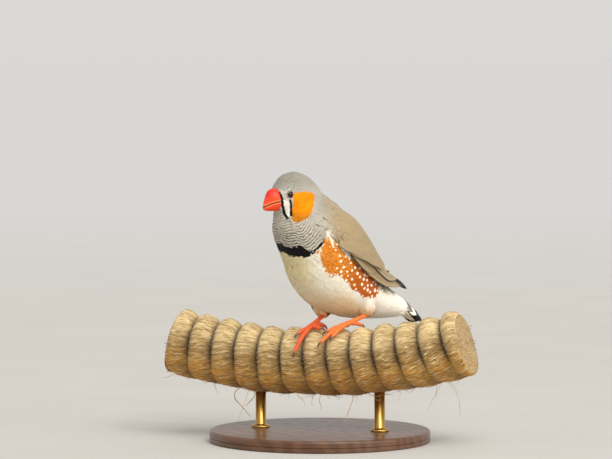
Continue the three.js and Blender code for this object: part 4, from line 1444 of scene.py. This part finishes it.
def add_tail(material):
    for name, (count, root_first, root_last, tip_first, tip_last, tilts, half, power) in TAIL_SETS.items():
        spine, normal = tail_spines(count, root_first, root_last, tip_first, tip_last, tilts)
        barred = 1.0 if name == "upper_coverts" else 0.0
        pale = 1.0 if name == "under_coverts" else 0.0
        form = firm_feathers(
            spine, normal, np.full(2 * count, half), feather_outline(TAIL_ROWS, 0.55, power), TAIL_THICKNESS,
            TAIL_COLUMNS,
        )
        numbers = {"shade": 0.0, "barred": barred, "pale": pale}
        add_feathers(f"tail_{name}", "tail_plumage", form, material, numbers, CREAM, ("tail",))


# Bill and eyes

# Bill outlines in the head's frame: forward, top, bottom, half width.
UPPER_BILL = [
    [0.4, 1.5, -1.5, 2.8],
    [3.5, 3.4, -1.85, 3.9],
    [5.3, 3.2, -2.25, 3.5],
    [6.7, 2.2, -2.8, 2.7],
    [7.6, 0.4, -3.3, 1.9],
    [8.5, -1.8, -3.85, 1.1],
    [9.2, -3.5, -4.3, 0.45],
]
LOWER_BILL = [
    [-0.4, -2.2, -5.6, 2.5],
    [2.4, -2.1, -6.0, 3.8],
    [4.6, -2.45, -6.0, 3.4],
    [6.4, -3.05, -5.9, 2.5],
    [7.9, -3.8, -5.7, 1.5],
    [8.9, -4.5, -5.3, 0.6],
]
# Each half's outline, whether its ridge is on top, and the heights between which its colour changes
BILL_HALVES = {"bill_upper": (UPPER_BILL, True, -4.0, 3.2), "bill_lower": (LOWER_BILL, False, -5.2, -2.1)}
# Where the halves meet: forward and up
CUTTING_EDGE = [[0, -1.6], [3.4, -1.9], [5.2, -2.3], [6.8, -2.9], [8.0, -3.5], [9.4, -4.3]]
NOSTRIL = [4.6, 1.7, 2.65]
# Half of a bill's section, from the ridge to the cutting edge and back to the middle: across and up
BILL_SECTION = [
    [0, 1], [0.24, 0.95], [0.5, 0.74], [0.74, 0.38], [0.91, -0.1], [1.0, -0.6], [0.98, -1], [0.5, -0.93],
    [0, -0.85],
]


def bill_form(rows, ridge_up):
    half = between(BILL_SECTION, np.linspace(0, len(BILL_SECTION) - 1, 33))
    section = np.concatenate([half, half[1:-1][::-1] * [-1, 1]])
    f, top, bottom, width = (v[:, None] for v in between(rows, np.linspace(0, len(rows) - 1, 48)).T)
    middle, height = (top + bottom) / 2, (top - bottom) / 2
    up = middle + section[None, :, 1] * height * (1 if ridge_up else -1)
    return closed(in_head(f + 0 * up, section[None, :, 0] * width, up))


def bill_material():
    """A waxy red bill, deepest on top, with faint growth lines. Along the cutting edges it is orange, its own
    colour lightened by a painted highlight, and where the halves meet a dark line is painted shade in the gap
    of the mouth.
    """
    graph = Graph("bill_horn", Roughness=0.36, Coat_Weight=0.06, Coat_Roughness=0.25, Specular_IOR_Level=0.35)
    level, reach, from_edge = (graph.number(name) for name in ("height", "reach", "from_edge"))
    top_red = graph.mix(reach.fade(4.5, 8.0), "e0351a", "cb1c26")
    paint = graph.mix(level.fade(0.3, 0.9), "f24a1c", top_red)
    # Paler orange along the cutting edges: the bill's own orange, lightened further as a painted highlight
    paint = graph.mix(from_edge.fade(1.2, 0.4, 0.0, 0.9), paint, "fb8a50")
    # A dark line where the halves meet: painted shade in the gap of the mouth
    paint = graph.mix(from_edge.fade(0.34, 0.22), paint, "5a1a0a")
    paint = graph.mix(graph.noise(1.2).fade(0.4, 0.75, 0.0, 0.35), paint, "e8381c")
    height = graph.wave(reach * 9.0) * 0.08 + graph.noise(0.9)
    roughness = graph.noise(0.9).fade(0.3, 0.7, 0.3, 0.42)
    return graph.finish(paint, roughness=roughness, height=height, depth=0.04)


def add_bill():
    material = bill_material()
    for name, (rows, ridge_up, bottom, top) in BILL_HALVES.items():
        points, faces = bill_form(rows, ridge_up)
        f, left, up = head_place(points)
        if ridge_up:
            for mirror in (1, -1):
                away = np.stack([f, left * mirror, up], -1) - NOSTRIL
                away = np.linalg.norm(away, axis=1)
                pit = 0.45 * fade(0.6, 0.2, away)
                points = points - (LEFTWARD * mirror * 0.6 + UPWARD * 0.8) * pit[:, None]
        edge = np.interp(f, *np.array(CUTTING_EDGE).T)
        numbers = {"height": (up - bottom) / (top - bottom), "reach": f, "from_edge": np.abs(up - edge)}
        piece(make_object(name + "_horn", points, faces, material, numbers), "bill", name)


EYE_ROWS = 32
EYE_SIDES = 48
LID_RADIUS = 1.46
LID_THICKNESS = 0.16
LID_HEIGHT = 1.06


def eye_material():
    """A dark brown iris round a black pupil under a clear wet surface."""
    graph = Graph("eye_wet", Roughness=0.08, Specular_IOR_Level=0.35)
    ring = graph.number("from_pupil")
    iris = graph.mix(graph.noise(0.25), "2c0d08", "47170f")
    paint = graph.mix(ring.fade(0.55, 0.66), "040303", iris)
    return graph.finish(graph.mix(ring.fade(0.95, 1.15), paint, "100706"))


def lid_material():
    graph = Graph("lid_skin", Roughness=0.6)
    paint = graph.mix(graph.noise(0.35), "b3a594", "8a7c6d")
    return graph.finish(paint, height=graph.cells(0.25), depth=0.04)


def round_eye(mirror, height, radius, turn, squash=1.0):
    """Points round an eye's axis, by how far out of the eye and how far from the axis they are."""
    centre, out, across, lifted = eye_axes(mirror)
    height, sideways, up = height + 0 * turn, radius * np.cos(turn), radius * squash * np.sin(turn)
    return centre + out * height[..., None] + across * sideways[..., None] + lifted * up[..., None]


def eyeball_form(mirror):
    """An eyeball with a slightly raised cornea, and each point's distance from the pupil's middle."""
    bend = np.linspace(0.02, math.pi - 0.02, EYE_ROWS)[:, None]
    turn = full_turn(EYE_SIDES)[None]
    reach = EYE_RADIUS * (1 + 0.05 * fade(0.75, 0.3, bend))
    points, faces = closed(round_eye(mirror, reach * np.cos(bend), reach * np.sin(bend), turn))
    return points, faces, np.repeat(EYE_RADIUS * np.sin(np.minimum(bend[:, 0], math.pi / 2)), EYE_SIDES)


def add_eyes():
    eye_look, lid_look = eye_material(), lid_material()
    for side_name, mirror in SIDES.items():
        points, faces, from_pupil = eyeball_form(mirror)
        made = make_object(f"eyeball_{side_name}", points, faces, eye_look, {"from_pupil": from_pupil})
        piece(made, "eye", f"eye_{side_name}")
        piece(make_object(f"eyelid_{side_name}", *lid_form(mirror), lid_look), "eye", "head")


def lid_form(mirror):
    """A soft ring of bare skin round the eye, beaded along its edge, a little narrower from top to bottom."""
    around = full_turn(96)[:, None]
    section = full_turn(14)[None]
    thick = LID_THICKNESS * (1 + 0.15 * np.cos(22 * around))
    radius = LID_RADIUS + thick * np.cos(section)
    height = LID_HEIGHT + thick * 1.2 * np.sin(section)
    rings = round_eye(mirror, height, radius, around, 0.94)
    rows, sides = rings.shape[:2]
    r, j = np.meshgrid(np.arange(rows), np.arange(sides), indexing="ij")
    a, b = r * sides + j, r * sides + (j + 1) % sides
    c, d = (r + 1) % rows * sides + (j + 1) % sides, (r + 1) % rows * sides + j
    faces = np.stack([a, b, c, a, c, d], -1).reshape(-1, 3)
    points = rings.reshape(-1, 3)
    return points, outward(points, faces)


# Legs

# The shank's radii at shares of its length, from the ankle to the toes' joint
SHANK = [[-0.03, 0.7], [0.02, 1.25], [0.12, 1.2], [0.3, 0.92], [0.6, 0.85], [0.88, 1.0], [1, 1.15]]
TOE_RADII = [1.05, 1.0, 0.86, 0.95, 0.8, 0.72]
CLAW_RADII = [0.6, 0.58, 0.46, 0.32, 0.07]
TOE_ROWS = 12
SHANK_SCALE = 1.15
TOE_SCALE = 0.85
# How strongly the far, right foot is painted darker red, as painted shade
FAR_FOOT_SHADE = 0.8


def leg_material():
    """Orange scaly skin, paler and worn between the scales. The far foot is painted darker red as painted
    shade.
    """
    graph = Graph(
        "leg_scales", Roughness=0.48, Specular_IOR_Level=0.4,
        Subsurface_Weight=0.15, Subsurface_Radius=(1.0, 0.7, 0.5), Subsurface_Scale=0.6 * METRE,
    )
    scale = graph.number("scale")
    paint = graph.mix(graph.noise(1.6), "f0803a", "e86a1c")
    # The far foot painted darker red: painted shade
    paint = graph.mix(graph.number("far"), paint, "d84a1c")
    paint = graph.mix(scale.fade(0.35, 0.0, 0.0, 0.45), paint, "f6b184")
    height = scale.fade(0.0, 0.4) + graph.cells(0.55) * 0.5
    return graph.finish(paint, height=height, depth=0.08)


def scaled_tube(points, radii, pitch, sides=20, depth=0.07):
    """A tube ringed with overlapping scales, and each point's place on its scale."""
    points = np.asarray(points, float)
    steps = np.linalg.norm(np.diff(points, axis=0), axis=1)
    length = steps.sum()
    fine = np.linspace(0, 1, int(length / pitch * 6) + 2)
    at = np.concatenate([[0], np.cumsum(steps)]) / length
    rows = np.interp(fine, at, np.arange(len(points)))
    path = between(points, rows)
    radius = np.interp(rows, np.arange(len(points)), radii)
    turn = np.linspace(0, 1, sides, endpoint=False)[None]
    phase = fine[:, None] * length / pitch + 0.25 * np.cos(2 * math.pi * turn)
    scale = phase - np.floor(phase)
    bulge = depth * (scale**0.5 - 0.5) * fade(0.0, 0.06, fine)[:, None] * fade(1.0, 0.94, fine)[:, None]
    tube_points, faces = tube(path, np.ones(len(path)), sides)
    rings = tube_points.reshape(len(path), sides, 3)
    rings = path[:, None] + (rings - path[:, None]) * (radius[:, None] + bulge)[..., None]
    return rings.reshape(-1, 3), faces, scale.ravel()


def toe_points(joint, end):
    t = np.linspace(0, 1, TOE_ROWS)
    knuckle = 0.45 * np.abs(np.sin(2.5 * math.pi * t)) * (1 - t)
    along, around = (a + (b - a) * t for a, b in zip(joint, end))
    return on_perch(along, around, TOE_LIFT + knuckle)


def add_foot(side_name, material):
    leg = FEET[side_name]
    ankle = np.array(leg["ankle"])
    joint = leg["joint"]
    heel = on_perch(joint[0], joint[1], TOE_LIFT + 0.5)
    shares, shank_radii = np.array(SHANK).T
    shank = ankle + (heel - ankle) * shares[:, None]
    forms = [scaled_tube(shank, shank_radii, SHANK_SCALE)]
    toe_radii = np.interp(np.linspace(0, 5, TOE_ROWS), range(6), TOE_RADII)
    forms += [scaled_tube(toe_points(joint, end), toe_radii, TOE_SCALE) for end in leg["toes"]]
    points, faces = joined([form[:2] for form in forms])
    scale = np.concatenate([form[2] for form in forms])
    numbers = {"scale": scale, "far": np.full(len(points), FAR_FOOT_SHADE if side_name == "right" else 0.0)}
    made = make_object(f"foot_{side_name}_scales", points, faces, material, numbers)
    piece(made, "leg_skin", f"foot_{side_name}")


def claw_material():
    graph = Graph("claw_horn", Roughness=0.4, Coat_Weight=0.3, Coat_Roughness=0.3)
    paint = graph.mix(graph.number("along").fade(0.1, 0.9), "a8664a", "4a2f24")
    return graph.finish(paint, height=graph.noise(0.3), depth=0.02)


def add_claws(side_name, material):
    leg = FEET[side_name]
    joint = np.array(leg["joint"])
    for n, end in enumerate(leg["toes"]):
        end = np.array(end)
        way = unit(end - joint)
        t = np.linspace(0, 1, 16)
        place = end[:, None] + way[:, None] * (CLAW_LENGTH * t - 0.5)
        height = TOE_LIFT + 0.35 * np.sin(math.pi * t) - 0.9 * t**2
        radii = np.interp(t * 4, range(5), CLAW_RADII)
        points, faces = tube(on_perch(place[0], place[1], height), radii, 14)
        made = make_object(f"talon_{side_name}_{n + 1}", points, faces, material, {"along": np.repeat(t, 14)})
        piece(made, "claw", f"claw_{side_name}_{n + 1}")


# Rope

ROPE_TURNS = math.ceil(ROPE_LENGTH / ROPE_PITCH) + 3
ROPE_ROWS = 430
ROPE_SIDES = 300
FIBRES_ROUND = 92
COARSE_FIBRES_ROUND = 37
GROOVE_ABOVE = 3.7
GROOVE_BELOW = 0.7
LYING_THREADS = 2400
HANGING_THREADS = 60
THREAD_ROWS = 8
CUT_ENDS = 420
CUT_BUNDLES = 13

# Long loose fibres under the rope: where along it each starts, then how far along and down its points lie
LONG_FIBRES = [
    [-31, [0, 0], [-2.5, -3], [-2, -6], [1.5, -9], [5.5, -12.5]],
    [-28.5, [0, 0], [2.5, -1.5], [3, -4], [1.5, -6.5], [0.5, -8.5]],
    [14.5, [0, 0], [0.5, -3], [-0.5, -6.5], [-1.5, -10], [-2.5, -13.5]],
    [20, [0, 0], [2, -2], [5, -3], [8.5, -2.6], [11.5, -3.2]],
    [2, [0, 0], [-0.5, -2], [-0.8, -4], [0.2, -6], [0, -8]],
    [24, [0, 0], [-0.8, -2.5], [0.6, -4.5], [1.6, -5], [2.4, -4]],
]


def strand_place(along, around):
    """How far across its strand a place on the rope is, 0 to 1, and which turn it is on."""
    wound = along / ROPE_PITCH + ROPE_TURNS / 2 + 0.5
    wound = wound - around / (2 * math.pi) + ROPE_SLANT * np.sin(around) / (2 * math.pi)
    return wound - np.floor(wound), np.floor(wound)


def rope_radius(along, around):
    """The rope's radius: round turns that overlap to one side, with deep grooves above and flatter ones
    underneath, and coarse fibres along it."""
    across, turn = strand_place(along, around)
    edge = np.abs(2 * across - 1)
    depth = GROOVE_BELOW + (GROOVE_ABOVE - GROOVE_BELOW) * fade(-0.85, 0.0, np.cos(around))
    groove = 1 - np.sqrt(1 - (0.985 * edge) ** 2)
    leaning = -2.0 * across**1.5 * fade(1.0, 0.9, edge) * fade(-0.8, 0.1, np.cos(around))
    uneven = 0.2 * np.sin(1.9 * turn + 1.3 * around) + 0.12 * np.sin(4.7 * turn + 3.1 * around)
    slant = 1.4 * across + 0.37 * turn + 0.25 * np.sin(3 * across + 2.1 * turn)
    fine = np.abs(np.sin(FIBRES_ROUND * around / 2 + 2.2 * slant))
    coarse = np.abs(np.sin(COARSE_FIBRES_ROUND * around / 2 + slant + 0.8 * np.sin(5 * across + turn)))
    fibres = 0.13 * fine + 0.2 * coarse
    return ROPE_RADIUS - 0.1 - depth * groove + (leaning + uneven + fibres) * (1 - 0.7 * groove)


def rope_material():
    """Sisal with fine fibres along the rope. Light and shade are painted into it: pale straw on top and
    browner at the sides, painted shade over one side of each turn and in the grooves, and orange underneath,
    the fibre's own colour painted lighter as painted light.
    """
    graph = Graph(
        "rope_fibre", Roughness=0.9, Sheen_Weight=0.15, Sheen_Roughness=0.6, Specular_IOR_Level=0.15
    )
    across, around, top, turn, groove = (
        graph.number(name) for name in ("across", "around", "top", "turn", "groove")
    )
    place = {"X": across * 0.14, "Y": around + across * 0.25, "Z": turn}
    vector = graph.add("ShaderNodeCombineXYZ", 0, place)
    fine, wide = (
        graph.add("ShaderNodeTexNoise", "Fac", {"Vector": vector, "Scale": scale, "Detail": detail})
        for scale, detail in ((2.4, 4.0), (0.7, 2.0))
    )
    # Painted shade over the far side of each turn, away from the top
    shaded = across.fade(0.35 * ROPE_PITCH, ROPE_PITCH) * top.fade(0.75, 0.2) * 0.6
    # Painted light from above: the top pale straw and the sides browner; underneath orange, the fibre's own
    # colour painted lighter
    paint = graph.mix(top.fade(-0.1, 0.85), "a58450", "dfc693")
    paint = graph.mix(top.fade(0.1, -0.7), paint, "d89b3a")
    paint = graph.mix(wide.fade(0.35, 0.65, 0.0, 0.5), paint, "9c7a42")
    paint = graph.mix(fine.fade(0.52, 0.7, 0.0, 0.8), paint, "ecdcb0")
    paint = graph.mix(fine.fade(0.47, 0.3, 0.0, 0.75), paint, "6b4a1c")
    paint = graph.mix(shaded, paint, "503817")
    # Painted shade in the grooves between the turns
    paint = graph.mix(groove.fade(0.15, 0.75, 0.0, 0.92), paint, "2b1d0c")
    return graph.finish(paint, height=fine, depth=0.3)


def rope_numbers(along, around):
    across, turn = strand_place(along, around)
    wrapped = np.mod(around + math.pi, 2 * math.pi) - math.pi
    return {
        "across": across * ROPE_PITCH,
        "around": wrapped * ROPE_RADIUS,
        # top lets the material paint light from above
        "top": np.cos(around),
        "turn": turn * 3.7,
        # groove: how far into a groove a place lies, except underneath, where the material paints shade
        "groove": (1 - np.sqrt(1 - (0.985 * (2 * across - 1)) ** 2)) * fade(-0.9, -0.05, np.cos(around)),
    }


def add_rope(material):
    ends = np.array([-1, 1]) * ROPE_LENGTH / 2
    along = np.linspace(*ends, ROPE_ROWS)[:, None]
    around = full_turn(ROPE_SIDES)[None]
    along, around = np.broadcast_arrays(along, around)
    radius = rope_radius(along, around)
    inward = np.minimum(along - ends[0], ends[1] - along)
    radius = radius - 0.5 * fade(0.8, 0, inward)
    share = np.linspace(1, 0.02, 30)[1:, None]
    swell = 0.35 * np.sin(9 * share * math.pi) * np.sin(5 * around[:1])
    swell = swell + 0.25 * np.sin(23 * share + 11 * around[:1])
    caps = []
    for end, way in ((0, -1), (-1, 1)):
        place = ends[end] + way * (0.25 * (1 - share) ** 0.3 * (1 + swell) - 0.2)
        caps.append(rope_point(place, around[:1] + 0 * share, radius[end][None] * share))
    points, faces = closed(np.concatenate([caps[0][::-1], rope_point(along, around, radius), caps[1]]))
    numbers = rope_numbers(along.ravel(), around.ravel())
    ring_share = np.repeat(share.ravel(), ROPE_SIDES)
    cap_turn = np.tile(around[0], len(share))
    cap_x, cap_y = CUT_BUNDLES * ring_share * np.cos(cap_turn), CUT_BUNDLES * ring_share * np.sin(cap_turn)
    bundles = np.sin(cap_x + 1.5 * np.sin(0.7 * cap_y)) * np.sin(cap_y + 1.5 * np.sin(0.6 * cap_x))
    cap_numbers = {
        "across": 1.5 + bundles,
        "around": cap_x,
        "top": np.full(len(ring_share), 0.1),
        "turn": cap_y,
        # groove: painted shade between the fibre bundles of the cut end
        "groove": 0.3 - 0.3 * np.abs(bundles),
    }
    for key, values in numbers.items():
        numbers[key] = np.concatenate([cap_numbers[key][::-1], values, cap_numbers[key]])
    piece(make_object("rope_strands", points, faces, material, numbers), "rope", "perch_rope")


def thread_forms(paths, radius):
    """Thin closed three-sided threads along paths (threads, rows, 3)."""
    along = unit(np.gradient(paths, axis=1))
    across = unit(np.cross(along, np.array([0.31, 0.22, 0.93])))
    lifted = np.cross(along, across)
    taper = np.sin(np.linspace(0.12, 1, paths.shape[1]) * math.pi * 0.93) ** 0.5
    thick = radius[:, None, None, None] * taper[None, :, None, None]
    points = (paths[:, :, None] + circle(across, lifted, THREE_TURNS) * thick).reshape(len(paths), -1, 3)
    return points, copies(points, ring_faces(paths.shape[1], 3))


def threads(name, material, along, around, radius, thickness):
    """Loose fibres through places on the rope: how far along it, the angle round it, how far off its axis."""
    points, faces = thread_forms(rope_point(along, around, radius), thickness)
    numbers = rope_numbers(np.repeat(along, 3, axis=1).ravel(), np.repeat(around, 3, axis=1).ravel())
    # Loose threads get no painted shade from the grooves
    numbers["groove"] = 0 * numbers["groove"]
    piece(make_object(name, points.reshape(-1, 3), faces, material, numbers), "rope")


def add_rope_threads(material):
    """Loose fibres: most lie along the rope and lift at one end, and some hang from below."""
    rng = np.random.default_rng(5)
    half = ROPE_LENGTH / 2
    t = np.linspace(0, 1, THREAD_ROWS)[None]
    start = rng.uniform(-half + 1, half - 1, (LYING_THREADS, 1))
    around = rng.uniform(0, 2 * math.pi, (LYING_THREADS, 1))
    reach = rng.uniform(2.5, 8, (LYING_THREADS, 1)) * rng.choice([-1, 1], (LYING_THREADS, 1))
    along = np.clip(start + reach * t, -half + 0.4, half - 0.4)
    around = around + rng.normal(0, 0.09, (LYING_THREADS, 1)) * t + 0.03 * np.sin(6 * t + start)
    lift = 0.04 + rng.gamma(1.2, 0.3, (LYING_THREADS, 1)) * t**3
    thickness = rng.uniform(0.05, 0.1, LYING_THREADS)
    threads("rope_threads", material, along, around, rope_radius(along, around) + lift, thickness)

    start = rng.uniform(-half + 3, half - 3, (HANGING_THREADS, 1))
    below = math.pi + rng.normal(0, 0.5, (HANGING_THREADS, 1))
    out = rng.gamma(2.0, 1.9, (HANGING_THREADS, 1))
    bend = rng.normal(0, 3.5, (HANGING_THREADS, 1))
    along = start + bend * t + rng.normal(0, 1.5, (HANGING_THREADS, 1)) * np.sin(3 * t)
    around = below + 0.25 * t * rng.normal(0, 1, (HANGING_THREADS, 1))
    thickness = rng.uniform(0.05, 0.09, HANGING_THREADS)
    threads("rope_hairs", material, along, around, ROPE_RADIUS - 0.6 + out * t, thickness)

    rows = np.linspace(0, 4, 24)
    paths = np.array([between(fibre[1:], rows) + [fibre[0], 0] for fibre in LONG_FIBRES])
    around = math.pi - 0.35 + 0 * paths[..., 0]
    thickness = np.linspace(0.2, 0.11, len(LONG_FIBRES))
    threads("rope_long_fibres", material, paths[..., 0], around, ROPE_RADIUS - 0.8 - paths[..., 1], thickness)

    ends = np.where(np.arange(CUT_ENDS) % 2, 1, -1)[:, None]
    reach = rng.gamma(2.0, 0.35, (CUT_ENDS, 1)) * t
    around = rng.uniform(0, 2 * math.pi, (CUT_ENDS, 1)) + rng.normal(0, 0.05, (CUT_ENDS, 1)) * t
    radius = 12 * np.sqrt(rng.random((CUT_ENDS, 1))) + rng.normal(0, 0.25, (CUT_ENDS, 1)) * t
    thickness = rng.uniform(0.08, 0.16, CUT_ENDS)
    threads("rope_cut_ends", material, ends * (half - 0.4 + reach), around, radius, thickness)


# Stand

# The base's edge with its fine groove: how far in from the rim and how high
BASE_EDGE = [[0.9, 0], [0.35, 0.12], [0, 0.5], [0, 1.9], [0.25, 2.1], [0, 2.3]]
BASE_CORNER = 1.1
# The collar round a rod's foot: how far out of the rod and how high
COLLAR = [[1.5, 0.02], [1.6, 0.15], [1.6, 0.7], [1.3, 1.05], [0.35, 1.25], [0, 1.6]]
ROD_IN_ROPE = 3.2
# The radius of a turned form's innermost points
INNERMOST = 0.05


def lathe(profile, sides):
    """A closed turned form from its outline: radius and height, from the bottom's middle to the top's."""
    profile = np.asarray(profile, float)
    turn = full_turn(sides)
    radius, height = profile[:, :1], profile[:, 1:]
    return closed(np.stack([radius * np.cos(turn), radius * np.sin(turn), height + 0 * turn], -1))


def rounded(radius, height, corner):
    """The outline of a disc's rounded upper edge."""
    turn = np.linspace(0, math.pi / 2, 8)
    return np.stack([radius - corner + corner * np.cos(turn), height - corner + corner * np.sin(turn)], -1)


def wood_material():
    """Walnut: curved growth rings and fine dark pores, both drawn out along the grain."""
    graph = Graph("base_walnut", Roughness=0.38, Coat_Weight=0.2, Coat_Roughness=0.2)
    bent = graph.noise(18.0, (0.12, 1.0, 1.0))
    rings = graph.wave(graph.part(graph.place(), "Y") * 0.16 + bent * 3.0)
    pores = graph.noise(0.35, (0.06, 1.0, 1.0))
    paint = graph.mix(rings.fade(-0.8, 0.9), "573824", "68452d")
    paint = graph.mix(pores.fade(0.42, 0.3, 0.0, 0.6), paint, "2e1b10")
    return graph.finish(paint, roughness=pores.fade(0.3, 0.6, 0.5, 0.34), height=pores, depth=0.04)


def brass_material():
    """Brass with fine streaks up the rod."""
    graph = Graph("rod_brass", Metallic=1.0, Roughness=0.3)
    streaks = graph.noise(0.4, (1.0, 1.0, 0.04))
    paint = graph.mix(streaks.fade(0.3, 0.7), "b98e46", "c9a25c")
    return graph.finish(paint, roughness=streaks.fade(0.3, 0.7, 0.24, 0.4), height=streaks, depth=0.01)


def add_stand():
    wood, brass = wood_material(), brass_material()
    edge = [[BASE_RADIUS - inset, height] for inset, height in BASE_EDGE]
    top = [[BASE_RADIUS - 3, BASE_THICKNESS], [INNERMOST, BASE_THICKNESS]]
    profile = np.concatenate([[[INNERMOST, 0]], edge, rounded(BASE_RADIUS, BASE_THICKNESS, BASE_CORNER), top])
    points, faces = lathe(profile, 160)
    piece(make_object("base_disc", points - PERCH, faces, wood, smooth=False), "base_wood", "stand_base")
    collar = [[ROD_RADIUS + out, height] for out, height in COLLAR]
    rod_top = ROD_SHOWN + ROD_IN_ROPE
    rod, faces = lathe([[INNERMOST, 0.02], *collar, [ROD_RADIUS, rod_top], [INNERMOST, rod_top]], 48)
    for n, side in enumerate((1, -1)):
        points = turned(rod + [side * ROD_SPREAD, 0, BASE_THICKNESS - PERCH[2]], ROPE_TURN)
        piece(make_object(f"rod_{n + 1}", points, faces, brass), "rod_metal", f"stand_rod_{n + 1}")


bpy.context.scene.view_settings.view_transform = "Standard"
add_camera()
add_floor()
add_sky()
add_lights()
plumage = plumage_material()
skin = Skin()
add_skin(skin, plumage)
add_coat(skin, plumage)
feathers = wing_material()
leg_skin, claw_horn = leg_material(), claw_material()
for side_name in SIDES:
    add_wing(side_name, feathers)
    add_foot(side_name, leg_skin)
    add_claws(side_name, claw_horn)
add_tail(tail_material())
add_bill()
add_eyes()
rope_fibre = rope_material()
add_rope(rope_fibre)
add_rope_threads(rope_fibre)
add_stand()
